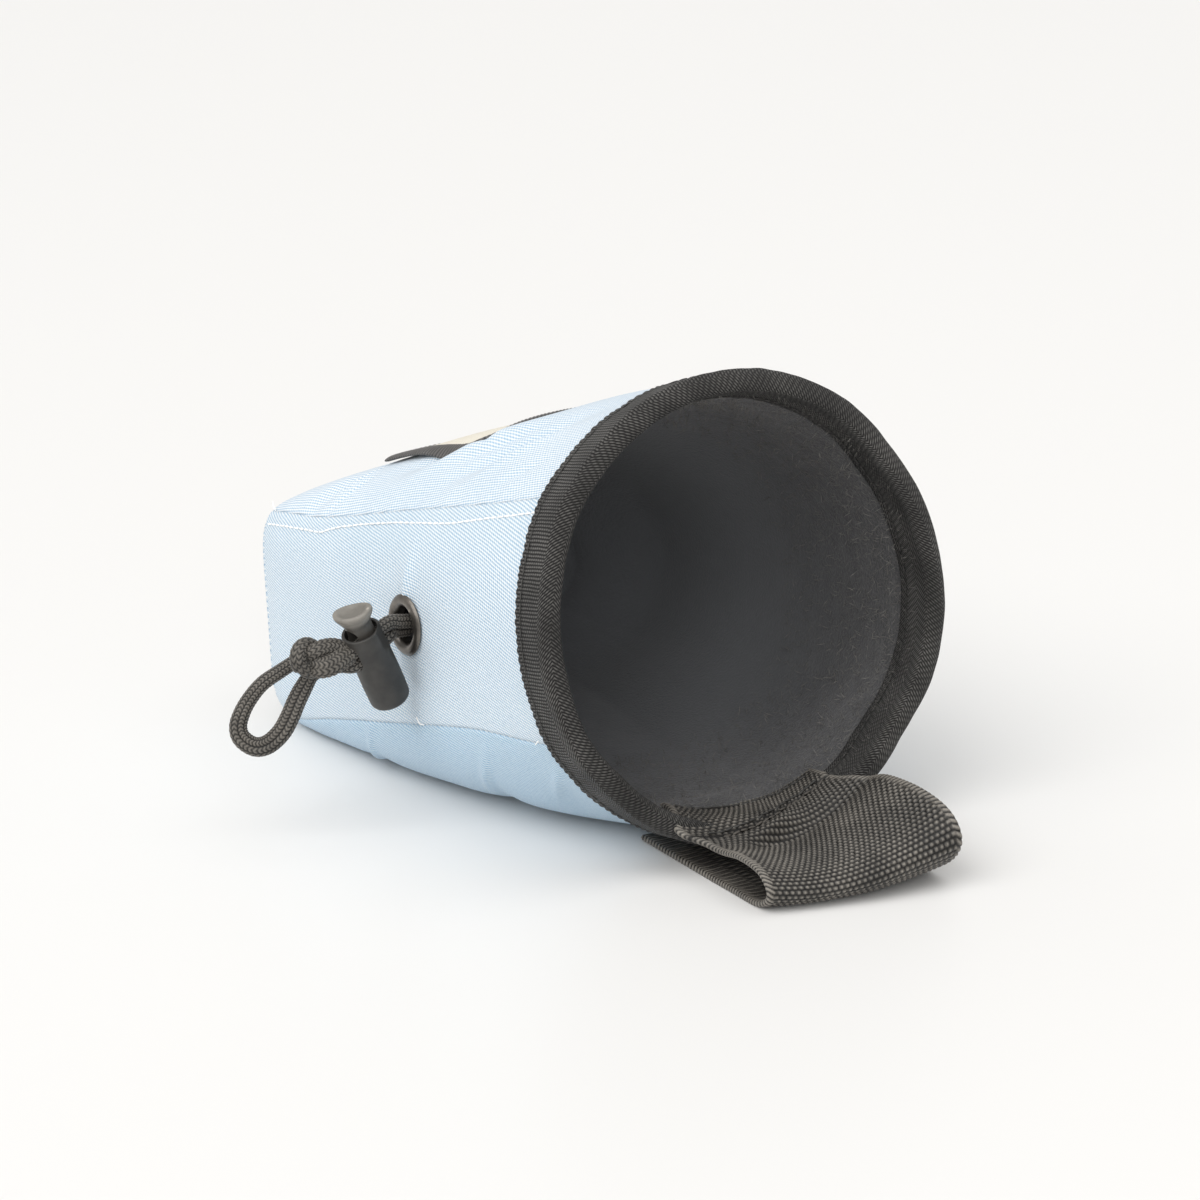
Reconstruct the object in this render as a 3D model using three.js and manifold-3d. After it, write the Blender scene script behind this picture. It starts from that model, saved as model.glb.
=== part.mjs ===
// A climbing chalk bag lying on its side, mouth towards -Y, belt side down.
// Millimetres, +Z up. The origin is on the floor under the middle of the bag,
// measured without the drawcord, its lock and its knot.
import * as THREE from "three";
import Module from "manifold-3d";
import { mergeVertices } from "three/addons/utils/BufferGeometryUtils.js";

const wasm = await Module();
wasm.setup();

const degree = Math.PI / 180;

// Bag body: a round mouth that turns into a boxed base
const mouthRadius = 60;
const bodyLength = 152;
const baseHalfWidth = 62;
const baseHalfHeight = 32;
const baseDome = 2.5;
const mouthTilt = 11.2 * degree;
const baseTilt = 5.5 * degree;
const rimClearance = 2.6;

// Cloth, fleece and tape
const clothThickness = 1.2;
const fleeceThickness = 1.6;
const fleeceGap = 0.5;
const fleeceSlack = 1.1;
const tapeThickness = 1;
const tapeReach = 10.5;
const pieceGap = 0.3;

// Belt loop
const webbingWidth = 51;
const webbingThickness = 1.6;
const loopReach = 53;
const loopHeight = 19;
const loopInsideReach = 13;
const loopTabReach = 13;
const loopInsideTuck = 4.5;
const loopSideShift = 2.5;
const loopSeatGap = 0.6;

// Patch on the upper panel
const patchDistance = 92;
const patchLength = 50;
const patchWidth = 68;
const patchCornerRadius = 6;
const patchBorderWidth = 3.4;
const patchBorderThickness = 1.3;
const patchGroundThickness = 0.8;
const patchGap = 0.55;
const patchStiffness = 0.8;

// Eyelet in the left gusset
const eyeletDistance = 66;
const eyeletAngle = 178.5 * degree;
const eyeletHoleRadius = 4.8;
const eyeletFlangeRadius = 8.1;
const eyeletFlangeHeight = 0.9;
const eyeletWall = 0.6;
const pocketDepth = 3;
const pocketSpread = 20;

// Drawcord, and the lock that rides on it
const cordDiameter = 3.4;
const cordSides = 8;
const lockCentre = new THREE.Vector3(-75.2, 60.8, 47.7);
const lockAxis = new THREE.Vector3(-0.422, -0.126, 0.898);
const lockCordDirection = new THREE.Vector3(-0.878, -0.191, -0.44);
const barrelRadius = 5.3;
const barrelBoreRadius = 4.35;
const barrelRim = 5.5;
const barrelBottom = 17.3;
const barrelFloor = 3;
const barrelFlat = 4.85;
const plungerRadius = 3.95;
const plungerHeadRadius = 5;
const plungerHeadThickness = 2.6;
const plungerTravel = 4;
const plungerExposed = 4.1;
const plungerFoot = 4;
const slotWidth = cordDiameter + 0.8;
const slotHalfHeight = cordDiameter + 1.5 * pieceGap;
const knotCentre = new THREE.Vector3(-87.6, 62.6, 46);
const knotDirection = new THREE.Vector3(-0.93, 0.34, -0.08);
const knotHalfLength = 6.3;
const knotHalfHeight = 5;

// The cords' routes, from the lip's middle on the floor: two strands and the bight
const upperStrandRoute = [
  [-60.4, 64.0, 51.3],
  [-64.2, 63.4, 52.0],
  [-67.6, 62.6, 52.6],
  [-70.7, 61.7, 51.9],
  [-76.0, 60.6, 49.4],
  [-80.9, 59.5, 46.9],
];
const lowerStrandRoute = [
  [-60.4, 66.6, 48.4],
  [-64.0, 65.9, 48.7],
  [-66.8, 64.2, 49.1],
  [-69.2, 62.2, 48.6],
  [-74.4, 61.0, 46.0],
  [-79.3, 60.0, 43.6],
];
const bightRoute = [
  [-93.4, 65.6, 45.4],
  [-97, 67.5, 42.8],
  [-101, 69, 40],
  [-104, 70, 36.5],
  [-106.5, 70, 33],
  [-108, 69.5, 29.5],
  [-107.5, 68.5, 26.5],
  [-105, 66.5, 24.5],
  [-102, 65, 25],
  [-99, 63.5, 28],
  [-96.5, 63.5, 31.5],
  [-94.3, 63.7, 35.5],
  [-91.9, 63.8, 39.2],
];

// Sections along the body, from the lip (0) to the base seam (1). Width and height are
// shares of a size that runs from the mouth's radius to the base's half width and height;
// rise and sag are the upper and lower half's extra height; above and below are their
// superellipse powers; seam and roll are the gussets' half angle and turn, in degrees.
const sections = [
  { at: 0, width: 1, rise: 0, sag: 0, above: 2, below: 2, seam: 32, roll: 5 },
  { at: 0.1, width: 1, rise: 0.01, sag: 0.02, above: 2.05, below: 2.12, seam: 30.5, roll: 4.6 },
  { at: 0.25, width: 1.02, rise: 0.06, sag: 0.06, above: 2.15, below: 2.7, seam: 27.3, roll: 4.9 },
  { at: 0.5, width: 1.03, rise: 0.08, sag: 0.08, above: 2.6, below: 4, seam: 25.8, roll: 3 },
  { at: 0.75, width: 1.03, rise: 0.09, sag: 0.07, above: 3.5, below: 6, seam: 24.8, roll: 0.6 },
  { at: 0.94, width: 1.02, rise: 0.06, sag: 0.06, above: 5.5, below: 8, seam: 26.2, roll: -0.6 },
  { at: 1, width: 1, rise: 0.02, sag: 0.02, above: 7, below: 8, seam: 26.6, roll: -0.6 },
];

// Where the round rim is pushed out or in, as a share of the mouth's radius; angles in
// degrees from +X towards the top
const rimDents = [
  { angle: 351, spread: 20, push: 0.018 },
  { angle: 317, spread: 13, push: -0.022 },
  { angle: 36, spread: 10, push: -0.012 },
  { angle: 147, spread: 9, push: 0.008 },
  { angle: 206, spread: 8, push: 0.01 },
];

// Folds in the body: place along it and round it, length and width as shares of the
// body's length, depth as a share of the mouth's radius (in is negative), slant in degrees
const folds = [
  { at: 0.3, angle: 128, long: 0.22, wide: 0.03, depth: -0.02, slant: 38 },
  { at: 0.42, angle: 126, long: 0.2, wide: 0.03, depth: 0.016, slant: 36 },
  { at: 0.52, angle: 128, long: 0.18, wide: 0.035, depth: -0.018, slant: 34 },
  { at: 0.8, angle: 146, long: 0.12, wide: 0.03, depth: -0.016, slant: 70 },
  { at: 0.48, angle: 196, long: 0.12, wide: 0.05, depth: -0.02, slant: 60 },
  { at: 0.44, angle: 168, long: 0.1, wide: 0.03, depth: 0.012, slant: 80 },
  { at: 0.7, angle: 222, long: 0.14, wide: 0.035, depth: -0.02, slant: 55 },
  { at: 0.36, angle: 226, long: 0.16, wide: 0.035, depth: -0.02, slant: 50 },
  { at: 0.16, angle: 228, long: 0.12, wide: 0.03, depth: -0.016, slant: 48 },
  { at: 0.45, angle: 60, long: 0.22, wide: 0.04, depth: -0.018, slant: -36 },
  { at: 0.7, angle: 50, long: 0.2, wide: 0.035, depth: -0.016, slant: -50 },
  { at: 0.5, angle: 350, long: 0.2, wide: 0.05, depth: -0.018, slant: -60 },
];

// Length stations of the body's cloth, as shares of its length
const stations = [0, 0.04, 0.08, 0.16, 0.24, 0.32, 0.4, 0.48, 0.56, 0.64, 0.72, 0.8, 0.88, 0.94, 0.975, 1];
const wideColumns = 16;
const gussetColumns = 8;
const seamCrowding = 0.5;

// The belt loop's path over the lip, out, round its fold and back under the bag, at its
// left edge, middle and right edge: out is a share of the loop's reach, up of its height
const loopPath = [
  { leftOut: 0.38, leftUp: 0.46, midOut: 0.4, midUp: 0.42, rightOut: 0.36, rightUp: 0.93 },
  { leftOut: 0.58, leftUp: 0.51, midOut: 0.64, midUp: 0.5, rightOut: 0.62, rightUp: 1.02 },
  { leftOut: 0.72, leftUp: 0.48, midOut: 0.82, midUp: 0.49, rightOut: 0.83, rightUp: 0.97 },
  { leftOut: 0.79, leftUp: 0.37, midOut: 0.91, midUp: 0.41, rightOut: 0.95, rightUp: 0.83 },
  { leftOut: 0.82, leftUp: 0.22, midOut: 0.95, midUp: 0.26, rightOut: 1, rightUp: 0.6 },
  { leftOut: 0.79, leftUp: 0.09, midOut: 0.91, midUp: 0.11, rightOut: 0.96, rightUp: 0.35 },
  { leftOut: 0.7, leftUp: 0, midOut: 0.82, midUp: 0, rightOut: 0.85, rightUp: 0.14 },
  { leftOut: 0.55, leftUp: 0, midOut: 0.6, midUp: 0, rightOut: 0.66, rightUp: 0 },
];
const webbingColumns = 7;

const cottonBlue = new THREE.MeshStandardMaterial({ color: 0xa9cbe6, roughness: 0.85, metalness: 0 });
const fleeceBlack = new THREE.MeshStandardMaterial({ color: 0x1b1b1d, roughness: 0.95, metalness: 0 });
const tapeBlack = new THREE.MeshStandardMaterial({ color: 0x1d1c1c, roughness: 0.75, metalness: 0 });
const webbingBlack = new THREE.MeshStandardMaterial({ color: 0x232120, roughness: 0.7, metalness: 0 });
const cordBlack = new THREE.MeshStandardMaterial({ color: 0x262320, roughness: 0.8, metalness: 0 });
const lockPlastic = new THREE.MeshStandardMaterial({ color: 0x3a3734, roughness: 0.5, metalness: 0 });
const gunmetal = new THREE.MeshStandardMaterial({ color: 0x5b544c, roughness: 0.35, metalness: 0.9 });
const patchCream = new THREE.MeshStandardMaterial({ color: 0xece6d6, roughness: 0.9, metalness: 0 });
const patchBlack = new THREE.MeshStandardMaterial({ color: 0x23252b, roughness: 0.8, metalness: 0 });

const mix = THREE.MathUtils.lerp;

// A column of a table at any share, on a smooth curve through its rows
function tableValue(rows, share, column) {
  const at = THREE.MathUtils.clamp(share, rows[0].at, rows[rows.length - 1].at);
  let low = 0;
  while (low < rows.length - 2 && at > rows[low + 1].at) {
    low += 1;
  }
  const start = rows[low];
  const end = rows[low + 1];
  const before = rows[Math.max(low - 1, 0)];
  const after = rows[Math.min(low + 2, rows.length - 1)];
  const span = end.at - start.at;
  const part = (at - start.at) / span;
  const startSlope = ((end[column] - before[column]) / (end.at - before.at)) * span;
  const endSlope = ((after[column] - start[column]) / (after.at - start.at)) * span;
  const square = part * part;
  const cube = square * part;
  return (
    (2 * cube - 3 * square + 1) * start[column] +
    (cube - 2 * square + part) * startSlope +
    (3 * square - 2 * cube) * end[column] +
    (cube - square) * endSlope
  );
}

// The body's skin: axis, sections and relief

const shellRadius = mouthRadius - tapeThickness - pieceGap;
const bodyAxis = new THREE.Vector3(0, Math.cos(mouthTilt), -Math.sin(mouthTilt));
const lipCentre = new THREE.Vector3(0, 0, rimClearance + mouthRadius * Math.cos(mouthTilt));

function sectionRadius(share, angle) {
  const clamped = THREE.MathUtils.clamp(share, 0, 1);
  const halfWidth = mix(shellRadius, baseHalfWidth, clamped) * tableValue(sections, share, "width");
  const above = Math.sin(angle) >= 0;
  const fullness = 1 + tableValue(sections, share, above ? "rise" : "sag");
  const halfHeight = mix(shellRadius, baseHalfHeight, clamped) * fullness;
  const power = tableValue(sections, share, above ? "above" : "below");
  const across = Math.pow(Math.abs(Math.cos(angle)) / halfWidth, power);
  const upward = Math.pow(Math.abs(Math.sin(angle)) / halfHeight, power);
  return Math.pow(across + upward, -1 / power);
}

function smoothPoint(share, angle) {
  const radius = sectionRadius(share, angle);
  const tilt = mix(mouthTilt, baseTilt, share);
  return lipCentre
    .clone()
    .addScaledVector(bodyAxis, share * bodyLength)
    .addScaledVector(new THREE.Vector3(0, Math.sin(tilt), Math.cos(tilt)), radius * Math.sin(angle))
    .add(new THREE.Vector3(radius * Math.cos(angle), 0, 0));
}

function outwardNormal(share, angle) {
  const step = 0.004;
  const low = THREE.MathUtils.clamp(share - step, 0, 1 - 2 * step);
  const alongBody = smoothPoint(low + 2 * step, angle).sub(smoothPoint(low, angle));
  const roundBody = smoothPoint(share, angle + step).sub(smoothPoint(share, angle - step));
  return roundBody.cross(alongBody).normalize().negate();
}

function turnBetween(angle, other) {
  const turn = (angle - other) % (2 * Math.PI);
  return turn > Math.PI ? turn - 2 * Math.PI : turn < -Math.PI ? turn + 2 * Math.PI : turn;
}

// The sewn patch stiffens the cloth under it
function patchStiffening(share, angle) {
  const along = Math.abs(share * bodyLength - patchDistance) - patchLength / 2;
  const across = Math.abs(turnBetween(angle, Math.PI / 2)) * sectionRadius(share, angle) - patchWidth / 2;
  const margin = 2 * patchBorderWidth;
  const within = 1 - THREE.MathUtils.smoothstep(Math.max(along, across), 0, margin);
  return 1 - patchStiffness * within;
}

function foldRelief(share, angle) {
  let relief = 0;
  for (const fold of folds) {
    const alongBody = (share - fold.at) * bodyLength;
    const roundBody = turnBetween(angle, fold.angle * degree) * sectionRadius(share, angle);
    const slant = fold.slant * degree;
    const alongFold = alongBody * Math.cos(slant) + roundBody * Math.sin(slant);
    const acrossFold = roundBody * Math.cos(slant) - alongBody * Math.sin(slant);
    const reach = Math.exp(-Math.pow((2 * alongFold) / (fold.long * bodyLength), 2));
    const profile = Math.exp(-Math.pow(acrossFold / (fold.wide * bodyLength), 2));
    relief += fold.depth * mouthRadius * reach * profile;
  }
  const endFade = THREE.MathUtils.smoothstep(share, 0.06, 0.14) * (1 - THREE.MathUtils.smoothstep(share, 0.9, 1));
  return relief * endFade * patchStiffening(share, angle);
}

function rimRelief(share, angle) {
  let relief = 0;
  for (const dent of rimDents) {
    const turn = turnBetween(angle, dent.angle * degree) / (dent.spread * degree);
    relief += dent.push * mouthRadius * Math.exp(-turn * turn);
  }
  return relief * (1 - THREE.MathUtils.smoothstep(share, 0.05, 0.5));
}

// How high the skin lies where it rests: on the floor, on the tape and on the belt loop's tab
function restHeight(point) {
  const depth = point.clone().sub(lipCentre).dot(bodyAxis);
  const underTape = 1 - THREE.MathUtils.smoothstep(depth, tapeReach + 1, tapeReach + 5);
  const pastTab = point.y - loopTabReach;
  const besideTab = Math.abs(point.x - loopSideShift) - webbingWidth / 2;
  const overTab = 1 - THREE.MathUtils.smoothstep(Math.max(pastTab, besideTab), 3, 11);
  return underTape * (tapeThickness + pieceGap) + overTab * (webbingThickness + pieceGap);
}

// A point of the body's skin, moved out by an offset; what would sink into its rest
// is pressed flat on it, with every layer above it
function skinPoint(share, angle, offset) {
  const normal = outwardNormal(share, angle);
  const relief = foldRelief(share, angle) + rimRelief(share, angle);
  const outside = smoothPoint(share, angle).addScaledVector(normal, relief);
  const point = outside.clone().addScaledVector(normal, offset);
  point.z += Math.max(0, restHeight(outside) - outside.z);
  return point;
}

// Closed meshes

function closedGeometry(points, triangles) {
  let volume = 0;
  for (const [a, b, c] of triangles) {
    volume += points[a].dot(points[b].clone().cross(points[c]));
  }
  const facing = volume > 0 ? triangles : triangles.map(([a, b, c]) => [a, c, b]);
  const geometry = new THREE.BufferGeometry();
  geometry.setAttribute("position", new THREE.Float32BufferAttribute(points.flatMap((p) => [p.x, p.y, p.z]), 3));
  geometry.setIndex(facing.flat());
  return geometry;
}

function toManifold(geometry) {
  const bare = geometry.clone();
  bare.deleteAttribute("normal");
  bare.deleteAttribute("uv");
  const merged = mergeVertices(bare);
  const vertProperties = new Float32Array(merged.attributes.position.array);
  const triVerts = new Uint32Array(merged.index.array);
  return new wasm.Manifold(new wasm.Mesh({ numProp: 3, vertProperties, triVerts }));
}

function fromManifold(solid) {
  const mesh = solid.getMesh();
  const geometry = new THREE.BufferGeometry();
  geometry.setAttribute("position", new THREE.Float32BufferAttribute(mesh.vertProperties, 3));
  geometry.setIndex(Array.from(mesh.triVerts));
  return geometry;
}

// A slab between two grids of points, closed along its four edges
function slabGeometry(rowCount, columnCount, outerPoint, innerPoint) {
  const points = [];
  for (const layerPoint of [outerPoint, innerPoint]) {
    for (let row = 0; row <= rowCount; row += 1) {
      for (let column = 0; column <= columnCount; column += 1) {
        points.push(layerPoint(row, column));
      }
    }
  }
  const layerSize = (rowCount + 1) * (columnCount + 1);
  const index = (layer, row, column) => layer * layerSize + row * (columnCount + 1) + column;
  const triangles = [];
  const quad = (a, b, c, d) => triangles.push([a, b, c], [a, c, d]);
  for (let row = 0; row < rowCount; row += 1) {
    for (let column = 0; column < columnCount; column += 1) {
      quad(index(0, row, column), index(0, row + 1, column), index(0, row + 1, column + 1), index(0, row, column + 1));
      quad(index(1, row, column), index(1, row, column + 1), index(1, row + 1, column + 1), index(1, row + 1, column));
    }
    quad(index(0, row, 0), index(1, row, 0), index(1, row + 1, 0), index(0, row + 1, 0));
    quad(
      index(0, row, columnCount),
      index(0, row + 1, columnCount),
      index(1, row + 1, columnCount),
      index(1, row, columnCount),
    );
  }
  for (let column = 0; column < columnCount; column += 1) {
    quad(index(0, 0, column), index(0, 0, column + 1), index(1, 0, column + 1), index(1, 0, column));
    quad(
      index(0, rowCount, column),
      index(1, rowCount, column),
      index(1, rowCount, column + 1),
      index(0, rowCount, column + 1),
    );
  }
  return closedGeometry(points, triangles);
}

// A body lofted through closed rings of equal count: its two ends run to a point each,
// or, with no points given, the last ring joins the first
function ringGeometry(rings, startPoint, endPoint) {
  const count = rings[0].length;
  const points = rings.flat();
  const triangles = [];
  const closed = startPoint === undefined;
  const bandCount = closed ? rings.length : rings.length - 1;
  for (let ring = 0; ring < bandCount; ring += 1) {
    const next = (ring + 1) % rings.length;
    for (let column = 0; column < count; column += 1) {
      const beside = (column + 1) % count;
      const a = ring * count + column;
      const b = ring * count + beside;
      const c = next * count + beside;
      const d = next * count + column;
      triangles.push([a, b, c], [a, c, d]);
    }
  }
  if (!closed) {
    points.push(startPoint, endPoint);
    const lastRing = (rings.length - 1) * count;
    for (let column = 0; column < count; column += 1) {
      const beside = (column + 1) % count;
      triangles.push([points.length - 2, beside, column]);
      triangles.push([points.length - 1, lastRing + column, lastRing + beside]);
    }
  }
  return closedGeometry(points, triangles);
}

// Seams and columns round the body. Panels run from one seam to the next.

const panels = {
  front: { start: 0, columns: wideColumns },
  left: { start: 1, columns: gussetColumns },
  back: { start: 2, columns: wideColumns },
  right: { start: 3, columns: gussetColumns },
};

function seamAngle(share, seam) {
  const half = tableValue(sections, share, "seam") * degree;
  const roll = -tableValue(sections, share, "roll") * degree;
  const corners = [half, Math.PI - half, Math.PI + half, 2 * Math.PI - half, 2 * Math.PI + half];
  return corners[seam] + roll;
}

function columnAngle(share, panel, part, inset) {
  const edge = inset / sectionRadius(share, seamAngle(share, panel.start));
  const start = seamAngle(share, panel.start) + edge;
  const end = seamAngle(share, panel.start + 1) - edge;
  return mix(start, end, mix(part, (1 - Math.cos(Math.PI * part)) / 2, seamCrowding));
}

function panelGeometry(panel) {
  const layerPoint = (offset) => (row, column) => {
    const share = stations[row];
    const angle = columnAngle(share, panel, column / panel.columns, pieceGap / 2);
    return skinPoint(share, angle, offset);
  };
  return slabGeometry(stations.length - 1, panel.columns, layerPoint(0), layerPoint(-clothThickness));
}

// One ring of points round the body, through every panel's columns
function bodyRing(share, offset) {
  const ring = [];
  for (const panel of Object.values(panels)) {
    for (let column = 0; column < panel.columns; column += 1) {
      ring.push(skinPoint(share, columnAngle(share, panel, column / panel.columns, 0), offset));
    }
  }
  return ring;
}

// The bottom of the bag: rings that shrink to the middle, domed outwards
function discRings(ring, centre, shares, depthAt) {
  return shares.map((size) =>
    ring.map((point) => centre.clone().lerp(point, size).addScaledVector(bodyAxis, depthAt(size))),
  );
}

function baseGeometry() {
  const centre = lipCentre.clone().addScaledVector(bodyAxis, bodyLength);
  const shares = [0.4, 0.75, 1];
  const dome = (size) => baseDome * (1 - size * size);
  const innerDepth = (size) => pieceGap + dome(size);
  const outerDepth = (size) => pieceGap + clothThickness + dome(size);
  const innerRings = discRings(bodyRing(1, -clothThickness / 4), centre, shares, innerDepth);
  const outerRings = discRings(bodyRing(1, -clothThickness / 2), centre, shares, outerDepth).reverse();
  const innerPole = centre.clone().addScaledVector(bodyAxis, innerDepth(0));
  const outerPole = centre.clone().addScaledVector(bodyAxis, outerDepth(0));
  return ringGeometry([...innerRings, ...outerRings], innerPole, outerPole);
}

// The eyelet's frame on the left gusset
const eyeletShare = eyeletDistance / bodyLength;
const eyeletCentre = skinPoint(eyeletShare, eyeletAngle, 0);
const eyeletNormal = outwardNormal(eyeletShare, eyeletAngle);
const eyeletTurn = new THREE.Quaternion().setFromUnitVectors(new THREE.Vector3(0, 0, 1), eyeletNormal);

// The fleece cup, with room behind the eyelet where the cord's channel runs
function liningGeometry() {
  const outside = (share) =>
    -(clothThickness + fleeceGap + fleeceSlack * THREE.MathUtils.smoothstep(share, 0.06, 0.16));
  const inside = (share) => outside(share) - fleeceThickness;
  const endShare = 1 - pieceGap / bodyLength;
  const innerEndShare = endShare - fleeceThickness / bodyLength;
  const rows = stations.filter((share, row) => row % 2 === 0 && share < innerEndShare);
  const pocketed = (point) => {
    const distance = point.distanceTo(eyeletCentre);
    const push = pocketDepth * Math.exp(-Math.pow(distance / pocketSpread, 2));
    return point.addScaledVector(eyeletNormal, -push);
  };
  const wall = (share, offsetAt) => bodyRing(share, offsetAt(share)).map(pocketed);
  const centreAt = (share) => lipCentre.clone().addScaledVector(bodyAxis, share * bodyLength);
  const flat = () => 0;
  const endShares = [0.6];
  const outerEnd = discRings(wall(endShare, outside), centreAt(endShare), endShares, flat);
  const innerEnd = discRings(wall(innerEndShare, inside), centreAt(innerEndShare), endShares, flat).reverse();
  const outerWall = [...rows, endShare].reverse().map((share) => wall(share, outside));
  const innerWall = [...rows, innerEndShare].map((share) => wall(share, inside));
  const rings = [...outerEnd, ...outerWall, ...innerWall, ...innerEnd];
  return ringGeometry(rings, centreAt(endShare), centreAt(innerEndShare));
}

// The tape folded over the rim, round every layer's edge
function bindingGeometry() {
  const outerFace = pieceGap;
  const outerSkin = pieceGap + tapeThickness;
  const innerFace = -(clothThickness + fleeceGap + fleeceThickness + pieceGap);
  const innerSkin = innerFace - tapeThickness;
  const middle = (outerSkin + innerSkin) / 2;
  const lipFace = -pieceGap;
  const lipSkin = -pieceGap - tapeThickness;
  const profile = [
    { depth: tapeReach, offset: outerSkin },
    { depth: tapeReach / 2, offset: outerSkin },
    { depth: 0, offset: outerSkin },
    { depth: lipSkin * 0.7, offset: mix(outerSkin, middle, 0.25) },
    { depth: lipSkin, offset: middle },
    { depth: lipSkin * 0.7, offset: mix(innerSkin, middle, 0.25) },
    { depth: 0, offset: innerSkin },
    { depth: tapeReach / 2, offset: innerSkin },
    { depth: tapeReach, offset: innerSkin },
    { depth: tapeReach, offset: innerFace },
    { depth: lipFace, offset: innerFace },
    { depth: lipFace, offset: outerFace },
    { depth: tapeReach / 2, offset: outerFace },
    { depth: tapeReach, offset: outerFace },
  ];
  return ringGeometry(profile.map(({ depth, offset }) => bodyRing(depth / bodyLength, offset)));
}

// The belt loop: sewn inside the mouth's lowest part, over the lip, out, and back under

const liningInside = -(clothThickness + fleeceGap + fleeceThickness);
const loopSeat = liningInside - pieceGap - tapeThickness - loopSeatGap - webbingThickness / 2;

// The skin's point inside the mouth that lies a given way across from the bag's middle
function insidePoint(depth, across) {
  const share = depth / bodyLength;
  let angle = 1.5 * Math.PI;
  for (let pass = 0; pass < 6; pass += 1) {
    const point = skinPoint(share, angle, loopSeat);
    angle += (across - point.x) / Math.hypot(point.x, point.z - lipCentre.z);
  }
  return skinPoint(share, angle, loopSeat);
}

function loopCurve(across) {
  const side = across / (webbingWidth / 2);
  const parabola = (left, middle, right) =>
    middle + ((right - left) / 2) * side + ((left + right) / 2 - middle) * side * side;
  const x = loopSideShift + across;
  const floorHeight = webbingThickness / 2;
  const tucked = x - loopInsideTuck * Math.max(0, side);
  const inside = [loopInsideReach, loopInsideReach / 2, 0.5].map((depth) => insidePoint(depth, tucked));
  const outside = loopPath.map((row) => {
    const out = parabola(row.leftOut, row.midOut, row.rightOut) * loopReach;
    const up = parabola(row.leftUp, row.midUp, row.rightUp) * loopHeight;
    return new THREE.Vector3(x, -out, floorHeight + Math.max(0, up));
  });
  const under = [0.3, 0.05].map((share) => new THREE.Vector3(x, -share * loopReach, floorHeight));
  const tab = new THREE.Vector3(x, loopTabReach, floorHeight);
  return new THREE.CatmullRomCurve3([...inside, ...outside, ...under, tab], false, "centripetal");
}

function beltLoopGeometry() {
  const rowCount = 32;
  const curves = [];
  for (let column = 0; column <= webbingColumns; column += 1) {
    curves.push(loopCurve((column / webbingColumns - 0.5) * webbingWidth));
  }
  const middleOf = (row, column) => curves[column].getPoint(row / rowCount);
  const normalOf = (row, column) => {
    const ahead = middleOf(Math.min(row + 1, rowCount), column);
    const behind = middleOf(Math.max(row - 1, 0), column);
    const right = middleOf(row, Math.min(column + 1, webbingColumns));
    const left = middleOf(row, Math.max(column - 1, 0));
    return ahead.sub(behind).cross(right.sub(left)).normalize();
  };
  const layerPoint = (offset) => (row, column) => {
    const point = middleOf(row, column).addScaledVector(normalOf(row, column), offset);
    point.z = Math.max(point.z, 0);
    return point;
  };
  const half = webbingThickness / 2;
  return slabGeometry(rowCount, webbingColumns, layerPoint(half), layerPoint(-half));
}

// The patch on the upper panel: a cream ground inside an overlocked border

// Half the patch's width at a place along it, less towards its rounded corners
function patchHalfWidth(along, inset) {
  const corner = Math.max(patchCornerRadius - inset, 1);
  const intoCorner = Math.max(0, Math.abs(along) - (patchLength / 2 - inset - corner));
  return patchWidth / 2 - inset - corner + Math.sqrt(Math.max(0, corner * corner - intoCorner * intoCorner));
}

// A point over the upper panel, from the patch's middle: along the body and across it
function patchPoint(along, across, offset) {
  const share = (patchDistance + along) / bodyLength;
  const angle = Math.PI / 2 + across / sectionRadius(share, Math.PI / 2);
  return skinPoint(share, angle, offset);
}

// The patch's outline at an inset: up one long edge, across, down the other and back
function patchRing(inset, offset) {
  const longSteps = 12;
  const shortSteps = 7;
  const halfLength = patchLength / 2 - inset;
  const ring = [];
  const longEdge = (side) => {
    for (let step = 0; step <= longSteps; step += 1) {
      const along = -side * halfLength * Math.cos((Math.PI * step) / longSteps);
      ring.push(patchPoint(along, side * patchHalfWidth(along, inset), offset));
    }
  };
  const shortEdge = (side) => {
    const halfWidth = patchHalfWidth(halfLength, inset);
    for (let step = 1; step < shortSteps; step += 1) {
      ring.push(patchPoint(side * halfLength, side * halfWidth * (1 - (2 * step) / shortSteps), offset));
    }
  };
  longEdge(1);
  shortEdge(1);
  longEdge(-1);
  shortEdge(-1);
  return ring;
}

function patchGroundGeometry() {
  const rows = 10;
  const columns = 8;
  const inset = patchBorderWidth + pieceGap;
  const layerPoint = (offset) => (row, column) => {
    const along = -(patchLength / 2 - inset) * Math.cos((Math.PI * row) / rows);
    const across = patchHalfWidth(along, inset) * ((2 * column) / columns - 1);
    return patchPoint(along, across, offset);
  };
  return slabGeometry(rows, columns, layerPoint(patchGap + patchGroundThickness), layerPoint(patchGap));
}

function patchBorderGeometry() {
  const top = patchGap + patchBorderThickness;
  const shoulder = patchGap + patchBorderThickness * 0.6;
  const rings = [
    patchRing(0, patchGap),
    patchRing(0, shoulder),
    patchRing(patchBorderWidth / 2, top),
    patchRing(patchBorderWidth, shoulder),
    patchRing(patchBorderWidth, patchGap),
  ];
  return ringGeometry(rings);
}

// Turned pieces: profiles are pairs of radius and height

function latheGeometry(profile, segments) {
  const points = profile.map(([radius, height]) => new THREE.Vector2(radius, height));
  return new THREE.LatheGeometry(points, segments).rotateX(Math.PI / 2);
}

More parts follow.
